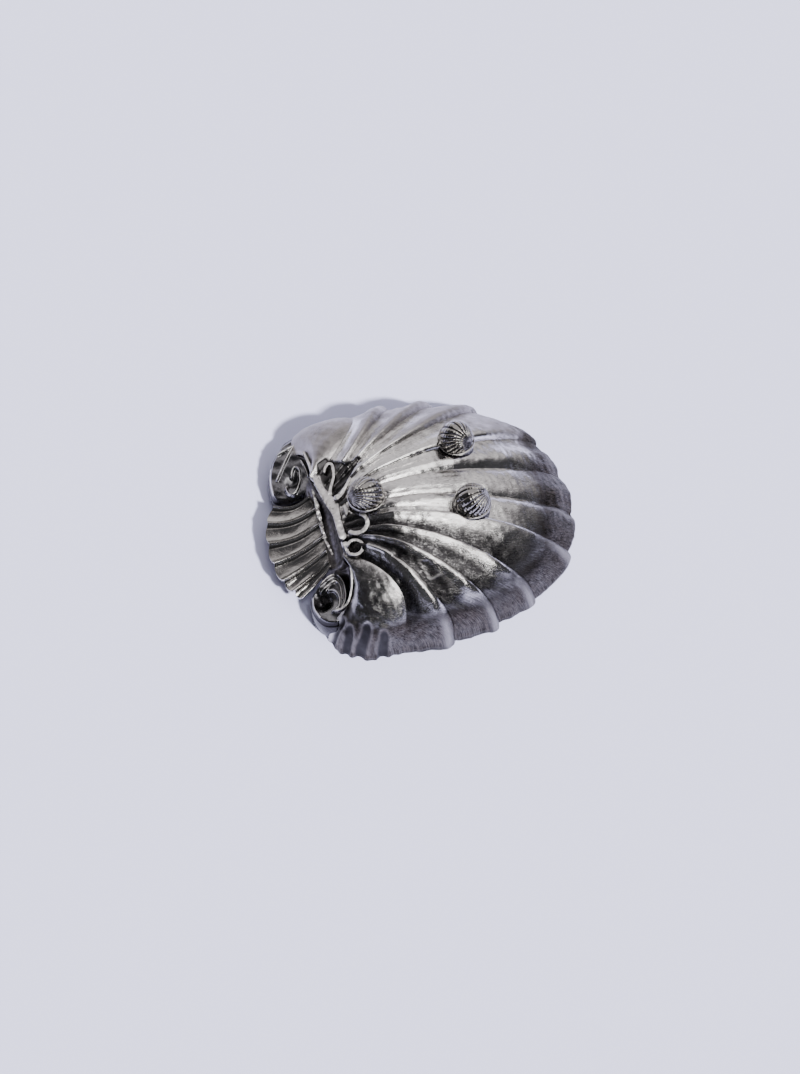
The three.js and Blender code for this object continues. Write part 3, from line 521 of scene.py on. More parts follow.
# painted shade: the feet, the thumb piece and the volutes are the same silver as the cup, given a
# darker clean colour that stands in for shade, and the cove's shaded_silver is a darker copy too.
foot_silver = silver(
    "foot_silver", (0.36, 0.345, 0.33), (0.014, 0.012, 0.012), 0.09, dents=0.05, hammered=0.08,
    scratches=0.01, pits=0.04)
fan_silver = silver(
    "fan_silver", (0.62, 0.60, 0.575), (0.03, 0.027, 0.026), 0.10, dents=0.14, hammered=0.12,
    scratches=0.01, pits=0.04, mottle=0.5)
volute_silver = silver(
    "volute_silver", (0.29, 0.285, 0.30), (0.035, 0.033, 0.036), 0.16, dents=0.03, hammered=0.025,
    scratches=0.005, pits=0.03, mottle=0.3)
shaded_silver = silver(
    "shaded_silver", (0.26, 0.245, 0.25), (0.09, 0.083, 0.083), 0.30, dents=0.05, hammered=0.05,
    scratches=0.008, pits=0.06)
print("finishes:", [m.name for m in bpy.data.materials if m.name.endswith("silver")])

# %% [markdown]
# ## The cup
# A grid follows the rib lines. Its lines crowd towards the grooves, where the surface turns
# sharply, and its rows crowd towards the rim. A second grid lies one sheet thickness inside, and
# the two are stitched round their edges, so the cup is one closed wall of silver.

# %% Lay out the cup's grid
LINES_PER_RIB = 21
LINES_PER_EAR = 46
ROWS = 152
EAR_CROWDING, ROW_CROWDING = 1.15, 1.5

across_rib = 0.5 * np.sin(0.5 * np.pi * np.linspace(-1, 1, LINES_PER_RIB + 1))
rib_lines = np.concatenate([n + across_rib[:-1] for n in range(-RIBS, RIBS + 1)])
ear_steps = EAR_RIBS * np.linspace(0, 1, LINES_PER_EAR + 1) ** EAR_CROWDING
cup_lines = np.concatenate([-EAR_START - ear_steps[:0:-1], rib_lines, EAR_START + ear_steps])
cup_shares = 1 - (1 - np.linspace(0, 1, ROWS + 1)) ** ROW_CROWDING

lines, shares = np.meshgrid(cup_lines, cup_shares, indexing="ij")
cup_plain = cup_surface(lines, shares)
plan_x, plan_y, plain_z = cup_plain[..., 0], cup_plain[..., 1], cup_plain[..., 2]
cup_normals = grid_normals(cup_plain)  # turned outwards if they point into the cup
if cup_normals[len(cup_lines) // 2, ROWS // 2, 2] < 0:
    cup_normals = -cup_normals
print("cup grid:", lines.shape)

# %% [markdown]
# The maker's and the years' marks lie on that form: a field sunk beside the strap, four short
# flutes at the rim of the right ear, a small bar, a square mend, chased lines, soft dents and a
# ragged rim. Each is a short curve through a few plan points and a height that depends only on
# the distance to it. So we first work out the distances, which the tarnish needs as well.

# %% Where the marks are
RECESS = [(-44.5, 28.3), (-39.9, 30.4), (-36.3, 26.8), (-31.8, 23.3), (-24.4, 22.6), (-30, 15.9),
          (-33.2, 13.1), (-37.2, 9.7), (-41.2, 7.8), (-44.2, 17.2), (-44.5, 28.3)]
FLUTES = [
    [(-50.7, -49.0), (-54.5, -50.6)],
    [(-48.3, -54.3), (-48.9, -56.1), (-50.6, -57.5)],
    [(-40.4, -57.0), (-41.3, -58.6), (-43.5, -60.3), (-46, -61.5)],
    [(-33.2, -61.3), (-33.9, -62.5), (-35.5, -64)],
]
BAR = [(-30.6, -23.3), (-22.2, -31.6)]
MEND = [(-11.6, -37.7), (-6.8, -38.7), (-3, -45.1), (-8, -46.1), (-11.6, -37.7)]
SCROLL_FLOORS = [(-34.6, -9.6, 4.6), (-36.6, -21.4, 4.4)]  # x, y and radius
SCROLL_FLOOR_STEP = 1.4
RECESS_STEP = (-0.15, 0.35)


def distance_to_curve(points, x, y, finer=12):
    """The distance from each plan point to a curve drawn through a few points: the least of the
    distances to its short straight stretches, finer of them from one point to the next."""
    points = np.array(points, float)
    t = np.linspace(0, len(points) - 1, finer * (len(points) - 1) + 1)
    curve = np.stack([through(points[:, 0], t), through(points[:, 1], t)], -1)
    nearest = np.full(x.shape, np.inf)
    for (ax, ay), (bx, by) in zip(curve[:-1], curve[1:]):
        run = (bx - ax) ** 2 + (by - ay) ** 2
        share = np.clip(((x - ax) * (bx - ax) + (y - ay) * (by - ay)) / run, 0.0, 1.0)
        away = np.hypot(x - ax - share * (bx - ax), y - ay - share * (by - ay))
        nearest = np.minimum(nearest, away)
    return nearest


def inside(points, x, y):
    """True inside a closed outline: a ray from the point crosses it an odd number of times."""
    odd = np.zeros(x.shape, bool)
    for (ax, ay), (bx, by) in zip(points[:-1], points[1:]):
        crossing_x = ax + (bx - ax) * (y - ay) / (by - ay if by != ay else TINY)
        odd ^= ((ay > y) != (by > y)) & (x < crossing_x)
    return odd


flute_away = np.min([distance_to_curve(flute, plan_x, plan_y, finer=3) for flute in FLUTES], axis=0)
bar_away = distance_to_curve(BAR, plan_x, plan_y, finer=1)
mend_away = distance_to_curve(MEND, plan_x, plan_y, finer=1)
recess_away = distance_to_curve(RECESS, plan_x, plan_y, finer=1)
recess = smooth(np.where(inside(RECESS, plan_x, plan_y), recess_away, -recess_away), *RECESS_STEP)
scroll_floor = np.max([
    1 - smooth(np.hypot(plan_x - x, plan_y - y), radius, radius + SCROLL_FLOOR_STEP)
    for x, y, radius in SCROLL_FLOORS
], axis=0)
rib_offset = np.abs(lines) - np.round(np.abs(lines))  # 0 on a rib's middle, -0.5 and 0.5 at grooves
rib_place = rib_offset + 0.5
on_ribs = np.abs(lines) <= EAR_START
print("points in the sunk field:", int(recess.sum()))

# %% Raise and sink the marks
RECESS_DEPTH = 0.9
FLUTE_DEPTH, FLUTE_HALF, FLUTE_BROW = 1.2, 1.7, 0.35
BAR_RISE, MEND_RISE, CHASED_DEPTH = 0.55, 0.3, 0.22
SHEET = 1.3
LEAST_HEIGHT = 0.3

flutes = -FLUTE_DEPTH * np.exp(-((flute_away / FLUTE_HALF) ** 4))
flutes = flutes + FLUTE_BROW * bell(flute_away, 2.9, 0.8)
bar_top = 1 - smooth(bar_away, 0.9, 1.5)
mend = MEND_RISE * bell(mend_away, 0.0, 0.45)
chased = bell(np.abs(rib_offset), 0.24, 0.05) * on_ribs
chased = CHASED_DEPTH * chased * smooth(shares, 0.1, 0.2) * (1 - smooth(shares, 0.45, 0.7))
dents = 0.16 * ripple(plan_x, plan_y, 13.0, 5) + 0.11 * ripple(plan_x, plan_y, 5.0, 6)
round_mm, up_mm = 9.0 * lines, 30.0 * shares  # roughly, near the rim
torn = 0.45 * ripple(round_mm, up_mm, 7.0, 7) + 0.3 * ripple(round_mm, up_mm, 2.6, 8)
folds = 0.35 * ripple(round_mm, 3.0 * shares, 5.5, 9)
ragged = smooth(shares, 0.80, 0.99) * torn + smooth(shares, 0.72, 0.95) * folds
marks = dents + ragged + flutes + BAR_RISE * bar_top + mend - chased - RECESS_DEPTH * recess
marks = marks[..., None]

cup_outside = cup_plain + marks * cup_normals
cup_inside = cup_plain + (np.minimum(marks, 0.0) - SHEET) * cup_normals
for side in (cup_outside, cup_inside):
    side[..., 2] = np.maximum(side[..., 2], LEAST_HEIGHT)
    side[:, -1, 2] = 0.0
cup_points, cup_faces = closed_patch(cup_outside, cup_inside)
print("marks from", round(float(marks.min()), 2), "to", round(float(marks.max()), 2), "mm")

# %% [markdown]
# Where tarnish and painted shade lie follows from the same formulas: tarnish in the grooves,
# tarnish and painted shade in the sunk field, the small flutes and the floors of the scrolls, and
# painted shade on the near ear, on the near wall and in the hollow after each crest on the near
# side. The low wall on the near side and at the lip has a matt brown patina instead, real at the
# lip and painted shade on the near side, and the far side a grey bloom. Two more numbers per
# point, across and along the ribs, steer the streaks.

# %% Sides and zones of the cup
PATINA_TOP, PATINA_TOP_NEAR, PATINA_TOP_FAR = 17.0, 4.5, 9.0
PATINA_EDGE, PATINA_EDGE_SOFT = 4.0, 6.0

# The sides as soft shares from 0 to 1. Rib lines are counted towards the near side here.
near_line = -lines
near_side = smooth(-plan_y, -8.0, 34.0)
lip_side = smooth(plan_x, 24.0, 60.0)

# The patina ends at a height in mm that is higher, and sharper, round the near shoulder.
near_shoulder = smooth(near_line, 2.8, 4.6)
patina_top = PATINA_TOP + PATINA_TOP_NEAR * near_shoulder - PATINA_TOP_FAR * smooth(lines, 0.0, 3.0)
patina_edge = PATINA_EDGE + PATINA_EDGE_SOFT * (1 - near_shoulder)
low_wall = 1 - smooth(plain_z, patina_top - patina_edge, patina_top + patina_edge)

flute_floor = 1 - smooth(flute_away, 1.2, 2.4)
after_crest = smooth(rib_place, 0.32, 0.6) * on_ribs * (np.abs(lines) > 0.5)
far_crests = after_crest * smooth(lines, 0.5, 1.5) * (1 - smooth(shares, 0.5, 0.9))
print("share of the cup on the low wall:", round(float(low_wall.mean()), 2))

# %% Tarnish, painted shade, bloom, patina and wear on the cup
GROOVE_DIRT, RECESS_TARNISH_AND_SHADE, FLUTE_TARNISH_AND_SHADE, SCROLL_TARNISH_AND_SHADE = 0.55, 1.4, 1.5, 1.2
CREST_DIRT_FAR, CREST_PAINTED_SHADE_NEAR = 0.12, 0.92
EAR_PAINTED_SHADE, NEAR_WALL_PAINTED_SHADE, BAR_POLISH = 0.6, 0.85, 0.3
FAR_BLOOM, WALL_BLOOM, LIP_BLOOM, CREST_POLISH = 0.95, 0.25, 0.12, 0.7
LIP_PATINA, NEAR_PATINA_AND_SHADE = 0.12, 0.24
BAR_WEAR, MEND_WEAR, EDGE_WEAR = 0.8, 0.45, 0.75
CREST_WEAR, FLUTE_WEAR, RECESS_WEAR = 0.30, 0.09, 0.06

# painted shade: the hollows after the near crests, the near ear and the near wall below 31 mm are
# darkened; the sunk field, the small flutes and the scroll floors hold tarnish and painted shade; the
# grooves and the far crests hold tarnish.
crest_tarnish_and_shade = CREST_DIRT_FAR + (CREST_PAINTED_SHADE_NEAR - CREST_DIRT_FAR) * smooth(near_line, 1.2, 2.4)
cup_tarnish_and_shade = np.max([
    GROOVE_DIRT * np.abs(2 * rib_offset) ** 8 * on_ribs * (1 - 0.3 * shares),
    RECESS_TARNISH_AND_SHADE * recess,
    FLUTE_TARNISH_AND_SHADE * flute_floor,
    SCROLL_TARNISH_AND_SHADE * scroll_floor,
    crest_tarnish_and_shade * after_crest,
    EAR_PAINTED_SHADE * smooth(near_line, EAR_START - 0.1, EAR_START + 0.3),
    NEAR_WALL_PAINTED_SHADE * (1 - smooth(plain_z, 20.0, 31.0)) * near_side,
], axis=0)
cup_tarnish_and_shade = cup_tarnish_and_shade * (1 - 0.75 * low_wall * (1 - flute_floor)) - BAR_POLISH * bar_top

cup_aged = FAR_BLOOM * smooth(plan_y, 14.0, 38.0) + WALL_BLOOM * low_wall + LIP_BLOOM * lip_side
cup_aged = np.clip(cup_aged, 0.0, 1.0) * (1 - CREST_POLISH * far_crests)

# painted shade: on the near side this patina darkens the low wall and, more faintly, the rest of the
# near side; at the lip it is patina.
cup_patina_and_shade = low_wall * np.maximum(near_side, lip_side) + LIP_PATINA * lip_side
cup_patina_and_shade = np.clip(cup_patina_and_shade + NEAR_PATINA_AND_SHADE * near_side * (near_line < EAR_START), 0.0, 1.0)

cup_worn = np.max([
    FLUTE_WEAR * bell(flute_away, 2.7, 0.5) * (plain_z > 4.0),
    CREST_WEAR * bell(rib_place, 0.15, 0.08) * low_wall * near_side * on_ribs,
    EDGE_WEAR * smooth(np.abs(lines), EDGE_LINE - 0.17, EDGE_LINE - 0.08),
    MEND_WEAR * bell(mend_away, 0.0, 0.35),
    BAR_WEAR * (1 - smooth(bar_away, 0.7, 1.2)),
    RECESS_WEAR * np.maximum(recess, scroll_floor),
], axis=0)
print("share of the cup under patina:", round(float(cup_patina_and_shade.mean()), 2))

# %% Build the cup
STREAK_LENGTH = 14.4
INSIDE_VALUES = {"hollow": 0.2, "aged": 0.3, "patina_and_shade": 0.0, "worn": 0.0}

outside_values = {
    "hollow": cup_tarnish_and_shade, "aged": cup_aged, "patina_and_shade": cup_patina_and_shade, "worn": cup_worn,
    "across": lines * (RIB_WIDTH_AT_HINGE + (RIB_WIDTH_AT_RIM - RIB_WIDTH_AT_HINGE) * shares),
    "along": shares * STREAK_LENGTH,
}
cup_values = {
    key: np.stack([values, np.broadcast_to(INSIDE_VALUES.get(key, values), values.shape)])
    for key, values in outside_values.items()
}
cup_piece = make_piece(
    "cup_of_the_shell", cup_points, cup_faces, polished_silver, ["cup"], "polished_silver",
    **cup_values)

# %% [markdown]
# ## The cove and the heel wall
# Behind the hinge the sheet turns down into a hollow cove and on to a short wall, and both run out
# along the edges of the ears. The surface hangs from the cup's own border: for u from -1 to 1 it
# follows the hinge, and beyond that the ear's edge, so the joint fits wherever the cup is changed.

# %% The cove's form
COVE_OUTSET, COVE_TUCK = 0.7, 1.7
COVE_FOOT_X, COVE_FOOT_SWING = -49.0, 2.0
COVE_FOOT_HEIGHT = 19.0
COVE_HALF_WIDTH, COVE_FADE = 21.0, 8.0
COVE_BOW, COVE_LEVEL = 0.8, 0.8
EAR_WALL_DROP, EAR_WALL_LEAST = 2.5, 4.0
HEEL_WALL_RUN, EAR_WALL_RUN, HEEL_WALL_EASING = 4.5, 0.6, 0.7
HEEL_WALL_FOOT_HEIGHT = 3.0


def heel_border(u):
    """The cup's border at the hinge for u in -1 to 1, and down the edge of the ear beyond."""
    return cup_surface(np.clip(u, -1.0, 1.0) * EDGE_LINE, np.maximum(0.0, np.abs(u) - 1.0))


def cove_foot_x(y):
    """Where the cove meets the thumb piece, a little further back on the left."""
    return COVE_FOOT_X - COVE_FOOT_SWING * smooth(y, 8.0, 20.0)


def heel_surface(u, t):
    """For t from 0 to 1 a bow of three points from border to foot, then the wall down to t = 2."""
    u, t = np.broadcast_arrays(np.asarray(u, float), np.asarray(t, float))
    top = heel_border(u) - [COVE_OUTSET, 0.0, COVE_TUCK]
    x, y, z = top[..., 0], top[..., 1], top[..., 2]
    ear = smooth(np.abs(y), COVE_HALF_WIDTH, COVE_HALF_WIDTH + COVE_FADE)
    foot_x = cove_foot_x(y) * (1 - ear) + (x - EAR_WALL_RUN) * ear
    foot_z = COVE_FOOT_HEIGHT * (1 - ear) + np.maximum(z - EAR_WALL_DROP, EAR_WALL_LEAST) * ear
    over, down = np.clip(t, 0.0, 1.0), np.clip(t - 1.0, 0.0, 1.0)
    wall_run = HEEL_WALL_RUN * (1 - ear) + EAR_WALL_RUN * ear
    cove_x = bow(x, COVE_BOW * x + (1 - COVE_BOW) * foot_x, foot_x, over)
    cove_x = cove_x - wall_run * down**HEEL_WALL_EASING
    cove_z = bow(z, foot_z + COVE_LEVEL, foot_z, over) + (HEEL_WALL_FOOT_HEIGHT - foot_z) * down
    return np.stack([cove_x, y, cove_z], -1)


# %% Build the cove
COVE_SHEET = 1.4
HEEL_END = 1.86
HEEL_COLUMNS, COVE_ROWS, WALL_ROWS = 260, 40, 24
COVE_PAINTED_SHADE = 0.75

heel_u = np.linspace(-HEEL_END, HEEL_END, HEEL_COLUMNS)[:, None]
heel_t = np.concatenate([np.linspace(0, 1, COVE_ROWS), 1 + np.linspace(0.02, 1, WALL_ROWS)])[None, :]
heel_outside = heel_surface(heel_u, heel_t)
heel_normals = grid_normals(heel_outside)
if heel_normals[HEEL_COLUMNS // 2, 5, 0] > 0:
    heel_normals = -heel_normals
heel_points, heel_faces = closed_patch(heel_outside, heel_outside - COVE_SHEET * heel_normals)
# painted shade: the whole cove and heel wall are darkened evenly.
heel_piece = make_piece(
    "cove_and_heel_wall", heel_points, heel_faces, shaded_silver, ["heel_cove"], "shaded_silver",
    hollow=np.full(len(heel_points), COVE_PAINTED_SHADE))

# %% [markdown]
# ## The thumb piece
# A small fan shell, cast and filed. Each of its six flutes is a shallow trough between two ridges,
# so the height across a flute is ridge * (1 - sin(pi a))^3.4. A fine line runs on either side of
# each ridge, where the chasing tool went. The free edge is scalloped by the same sine. A formula
# keeps all six alike, as on the real fan, and lets their rays spread from a curved root.

# %% The fan's form
FAN_FLUTES = 6
FAN_ROOT_Y = [18.6, 11, 2.5, -5, -13, -18.5, -21.5]
FAN_EDGE = np.array([
    [-68.4, 21.4], [-72.8, 12.8], [-74.3, 1.5], [-74, -9.5], [-71.3, -19.5], [-67.6, -26],
    [-64.2, -30.4],
])
FAN_ROOT_HEIGHT, FAN_DROP, FAN_SAG = 19.5, 7.5, 1.2
FAN_SCALLOP, FAN_SWING = 1.3, 2.3
FAN_RIDGE, FAN_RIDGE_POWER, FAN_TROUGH = 1.9, 3.4, 0.7
FAN_LINE_DEPTH = 0.22


def fan_surface(flute, t):
    """Straight rays from root to edge, with sine scallops, ridges between flutes and a sag."""
    flute, t = np.broadcast_arrays(np.asarray(flute, float), np.asarray(t, float))
    root_y = through(FAN_ROOT_Y, flute)
    root_x = cove_foot_x(root_y) - 0.2
    edge_x, edge_y = through(FAN_EDGE[:, 0], flute), through(FAN_EDGE[:, 1], flute)
    across = flute - np.floor(np.minimum(flute, FAN_FLUTES - 1e-6))
    trough = np.sin(np.pi * across)
    out = t * (1.0 + FAN_SCALLOP * trough * t / np.hypot(edge_x - root_x, edge_y - root_y))
    swing = FAN_SWING * (1 - smooth(flute, 1.0, 4.5)) * np.sin(np.pi * np.clip(t, 0.0, 1.0))
    ridge = FAN_RIDGE * (1 - trough) ** FAN_RIDGE_POWER * (0.45 + 0.55 * t)
    ridge = ridge - FAN_TROUGH * trough**2 * t
    chased = FAN_LINE_DEPTH * bell(np.minimum(across, 1 - across), 0.17, 0.035) * smooth(t, 0.05, 0.3)
    uneven = 0.10 * ripple(flute * 9.0, t * 22.0, 7.0, 4)
    z = FAN_ROOT_HEIGHT - FAN_DROP * t - FAN_SAG * np.sin(np.pi * t) + ridge - chased + uneven
    x, y = root_x + (edge_x - root_x) * out, root_y + (edge_y - root_y) * out - swing
    return np.stack([x, y, z], -1)


# %% Build the thumb piece
FAN_THICKNESS = 1.5
FAN_COLUMNS_PER_FLUTE, FAN_ROWS, FAN_CROWDING = 36, 90, 1.3

fan_across = np.linspace(0, FAN_FLUTES, FAN_FLUTES * FAN_COLUMNS_PER_FLUTE + 1)[:, None]
fan_along = (1 - (1 - np.linspace(0, 1, FAN_ROWS)) ** FAN_CROWDING)[None, :]
fan_top = fan_surface(fan_across, fan_along)
fan_points, fan_faces = closed_patch(fan_top, fan_top - [0.0, 0.0, FAN_THICKNESS])

# Tarnish and painted shade lie beside the ridges and at the root, and each ridge's brow is rubbed
# pale, partly as a painted highlight.
from_ridge = np.abs(fan_across - np.round(fan_across)) + 0 * fan_along
fan_tarnish_and_shade = 0.16 - 0.9 * bell(from_ridge, 0.0, 0.06) + 0.6 * bell(from_ridge, 0.15, 0.06)
fan_tarnish_and_shade = fan_tarnish_and_shade + 0.5 * (1 - smooth(fan_along, 0.0, 0.12))
fan_brow_wear_and_highlight = 0.8 * bell(from_ridge, 0.05, 0.028) * (fan_along < 0.97)
make_piece(
    "fan_thumb_piece", fan_points, fan_faces, fan_silver, ["thumb_fan"], "fan_silver",
    hollow=np.stack([fan_tarnish_and_shade, np.full_like(fan_tarnish_and_shade, 0.6)]), worn=np.stack([fan_brow_wear_and_highlight, 0 * fan_brow_wear_and_highlight]))

# %% [markdown]
# ## The volutes
# Each volute is a patch of sheet inside a drawn outline, worked up into rolled ridges. The
# outline is a closed curve through a few points. A disc grid fills it, and its height is a gentle
# slope, less one hollow, plus for each ridge rise * exp(-(distance/half)^2), where distance is
# taken to the ridge's own curve. Past the outline the same grid turns down into the wall.

# %% Volute data
# A hollow is x, y, radius and depth; a ridge is its rise, its half width and its curve.
VOLUTE_LEFT = {
    "middle": (-58.0, 38.0), "top": 14.0, "slope": 0.25, "hollow": (-56.5, 32.5, 4.0, 2.5),
    "outline": [
        (-47, 56.5), (-55.7, 57.1), (-60, 53.2), (-64.2, 48), (-66.9, 42), (-68.4, 35), (-68.6, 29),
        (-67.2, 24.6), (-63, 22.6), (-57, 22.2), (-51, 22.4), (-47, 25), (-46.5, 34), (-46.5, 44),
    ],
    "ridges": [
        (1.9, 0.55, [(-56.8, 35.2), (-55.9, 37.7), (-54, 39.2), (-52.5, 36.8), (-53.3, 31.7),
                    (-55.4, 26.9), (-58, 24.8), (-60.1, 26.5), (-60.6, 29.6), (-59.6, 30.6)]),
        (1.8, 0.5, [(-46, 59), (-49.7, 54.8), (-55.7, 47.4), (-60.3, 41.1), (-63.8, 36)]),
        (1.2, 0.45, [(-50.5, 42), (-49.4, 37.6), (-49, 32.1)]),
        (1.0, 0.6, [(-61, 50), (-57, 51), (-53, 52)]),
        (0.4, 0.35, [(-65.5, 46), (-67.2, 37), (-67.2, 29)]),
    ],
}
VOLUTE_RIGHT = {
    "middle": (-53.5, -36.0), "top": 14.5, "slope": 0.15, "hollow": (-56.6, -35.1, 4.4, 5.0),
    "outline": [
        (-46.5, -22), (-52, -23.2), (-57.2, -26.8), (-61, -31), (-62, -37), (-60.5, -43),
        (-57, -47.5), (-51, -49), (-46, -46), (-43.8, -38), (-43.5, -30),
    ],
    "ridges": [
        (1.8, 0.5, [(-56, -27), (-51, -24.6), (-47.9, -24.4), (-45.9, -26.4), (-45, -31), (-46, -38),
                    (-49.9, -43.5)]),
        (1.4, 0.45, [(-56, -30.4), (-51.9, -28.3), (-48.3, -27.6), (-47, -31), (-47.5, -37.5)]),
        (1.8, 0.5, [(-52.5, -30.9), (-49.8, -32.2), (-48.6, -36.6), (-50, -41), (-52.9, -42.2)]),
        (0.5, 0.35, [(-60.2, -31), (-60.6, -37), (-59.2, -42.5)]),
    ],
}

# %% Volute formulas
VOLUTE_STEPS = 181
VOLUTE_FOOT = 1.2
VOLUTE_WALL = 0.35  # the share of the grid past the outline
VOLUTE_EDGE_DROP, VOLUTE_EDGE_FROM = 2.6, 0.84
VOLUTE_BULGE = 0.035
VOLUTE_PLATE = 0.02
VOLUTE_TARNISH_AND_SHADE, SUNK_TARNISH_AND_SHADE, WALL_PAINTED_SHADE, EDGE_TARNISH_AND_SHADE, UNDER_DIRT = 0.34, 0.2, 2.0, 0.9, 0.8


def outline_point(outline, turn):
    """A point of the closed curve through an outline, for a turn from 0 to 1 round it."""
    ring = np.array([*outline[-2:], *outline, *outline[:2]], float)
    t = turn * len(outline) + 2
    return through(ring[:, 0], t), through(ring[:, 1], t)


def volute_piece(name, node, volute, seed):
    """One volute: top, edge and wall from one disc grid, closed by a flat plate below."""
    out, turn = disc_grid(VOLUTE_STEPS)
    out = out * (1.0 + VOLUTE_WALL)
    share, down = np.minimum(out, 1.0), np.clip((out - 1.0) / VOLUTE_WALL, 0.0, 1.0)
    edge_x, edge_y = outline_point(volute["outline"], turn)
    middle_x, middle_y = volute["middle"]
    to_edge_x, to_edge_y = edge_x - middle_x, edge_y - middle_y
    x, y = middle_x + share * to_edge_x, middle_y + share * to_edge_y

    hollow_x, hollow_y, radius, depth = volute["hollow"]
    sunk = depth * np.exp(-(((x - hollow_x) ** 2 + (y - hollow_y) ** 2) / radius**2))
    raised, ridge_polish_and_highlight = np.zeros_like(x), np.zeros_like(x)
    for rise, half, curve in volute["ridges"]:
        away = distance_to_curve(curve, x, y)
        raised = np.maximum(raised, rise * bell(away, 0.0, half))
        ridge_polish_and_highlight = np.maximum(ridge_polish_and_highlight, bell(away, 0.0, 0.75 * half))
    uneven = 0.03 * ripple(x, y, 2.4, seed) + 0.30 * ripple(x, y, 8.0, seed + 1)
    edge_drop = VOLUTE_EDGE_DROP * smooth(share, VOLUTE_EDGE_FROM, 1.0)
    z = volute["top"] + volute["slope"] * (x - middle_x) - sunk - edge_drop + raised
    z = z + uneven * (1 - down)

    bulge = VOLUTE_BULGE * np.sin(np.pi * down)
    top = np.stack([x + bulge * to_edge_x, y + bulge * to_edge_y, z + (VOLUTE_FOOT - z) * down], -1)
    low = np.stack([x, y, np.full_like(x, VOLUTE_FOOT - VOLUTE_PLATE)], -1)
    within = (slice(1, -1), slice(1, -1))
    spread = (out / (1 + VOLUTE_WALL))[within]
    low[within][..., 0] = middle_x + spread * to_edge_x[within]
    low[within][..., 1] = middle_y + spread * to_edge_y[within]
    points, faces = closed_patch(top, low)

    # painted shade on the wall below the outline, near the edge, in the hollow and over the rest of
    # the top; the ridges are rubbed pale, partly as a painted highlight.
    edge = EDGE_TARNISH_AND_SHADE * smooth(share, VOLUTE_EDGE_FROM, 0.95) * (1 - ridge_polish_and_highlight)
    tarnish_and_shade = VOLUTE_TARNISH_AND_SHADE + SUNK_TARNISH_AND_SHADE * sunk - 0.9 * ridge_polish_and_highlight + WALL_PAINTED_SHADE * smooth(down, 0.0, 0.1) + edge
    worn = 0.9 * ridge_polish_and_highlight * (out < 0.99)
    return make_piece(
        name, points, faces, volute_silver, [node], "fan_silver",
        hollow=np.stack([np.clip(tarnish_and_shade, 0.0, 1.6), np.full_like(tarnish_and_shade, UNDER_DIRT)]),
        worn=np.stack([worn, 0 * worn]))


left_volute = volute_piece("left_volute", "volute_left", VOLUTE_LEFT, 11)
right_volute = volute_piece("right_volute", "volute_right", VOLUTE_RIGHT, 21)

# %% [markdown]
# ## Feet
# Each foot is a little cockle shell on a turned collar. The shell is a low dome with a flat top.
# Its ribs fan out from the shell's own hinge at one side, so a rib is a band of equal bearing seen
# from that point: its height is |cos(n * bearing)|^0.55. Higher up the ribs lean outwards. The
# collar is turned on a lathe and filed to sit on the ribbed cup, so its lower edge follows the cup
# all the way round.

# %% The shells of the feet
# Each foot's x and y, the bearing of its shell's hinge in degrees, and its shell's base height.
FEET = {
    "hinge": (-26.6, -0.4, 195.0, 41.2),
    "left": (21.8, 20.4, -55.0, 39.6),
    "right": (19.8, -15.4, 0.0, 39.8),
}
FOOT_TIP = 48.8
FOOT_RADIUS = 8.4
FOOT_STEPS = 161
FOOT_FLAT = 0.35  # mm of the dome's top that the flat cuts off
FOOT_RIBS, FOOT_RIB_POWER, FOOT_RIB_DEPTH, FOOT_RIB_LEAN = 18, 0.55, 0.62, 0.5
GROWTH_LINE_DEPTH, GROWTH_LINE_STEP = 0.05, 1.3


def foot_shell(name, x, y, bearing, base):
    """A low dome on a disc grid, grooved along its ribs and ringed by fine growth lines."""
    out, turn = disc_grid(FOOT_STEPS)
    tilt = 0.5 * np.pi * (1 - out)
    angle, hinge = 2 * np.pi * turn, math.radians(bearing)
    radius = FOOT_RADIUS * np.cos(tilt)
    along = FOOT_RADIUS - radius * np.cos(angle - hinge)
    aside = radius * np.sin(angle - hinge) * (1 - FOOT_RIB_LEAN * np.sin(tilt))
    rib = np.abs(np.cos(FOOT_RIBS * np.arctan2(aside, along + 0.02)))
    away = np.hypot(along, aside)
    fade = smooth(away, 0.6, 4.0)
    growth = GROWTH_LINE_DEPTH * np.sin(2 * np.pi * away / GROWTH_LINE_STEP) * fade
    depth = (FOOT_RIB_DEPTH * (rib**FOOT_RIB_POWER - 1.0) + growth) * fade
    height = FOOT_TIP - base
    rise = (height + FOOT_FLAT) * np.sin(tilt)
    top = np.stack([radius * np.cos(angle), radius * np.sin(angle), rise], -1)
    normal = top / np.array([FOOT_RADIUS**2, FOOT_RADIUS**2, height**2])
    normal = normal / np.maximum(np.linalg.norm(normal, axis=-1, keepdims=True), TINY)
    top = top + normal * depth[..., None]
    top[..., 2] = np.clip(top[..., 2], 0.0, height)
    top = top + [x, y, base]
    low = top * [1.0, 1.0, 0.0] + [0.0, 0.0, base - 0.01]
    points, faces = closed_patch(top, low)
    # Tarnish and painted shade lie between the ribs and near the shell's hinge.
    tarnish_and_shade = np.clip(1.15 - 1.3 * rib**0.8, 0.0, 1.2) * fade + 0.8 * (1 - fade)
    return make_piece(
        f"{name}_foot_shell", points, faces, foot_silver, [f"foot_{name}_shell"], "foot_silver",
        hollow=np.stack([tarnish_and_shade, np.ones_like(tarnish_and_shade)]))


# %% The surface under a point
DROP_HEIGHT = 0.1  # metres, above everything


def tree_of(*pieces):
    """One search tree over the faces of some pieces, to find the surface under a point."""
    vertices, polygons = [], []
    for piece in pieces:
        start = len(vertices)
        vertices += [v.co.copy() for v in piece.data.vertices]
        polygons += [[start + k for k in f.vertices] for f in piece.data.polygons]
    return BVHTree.FromPolygons(vertices, polygons)


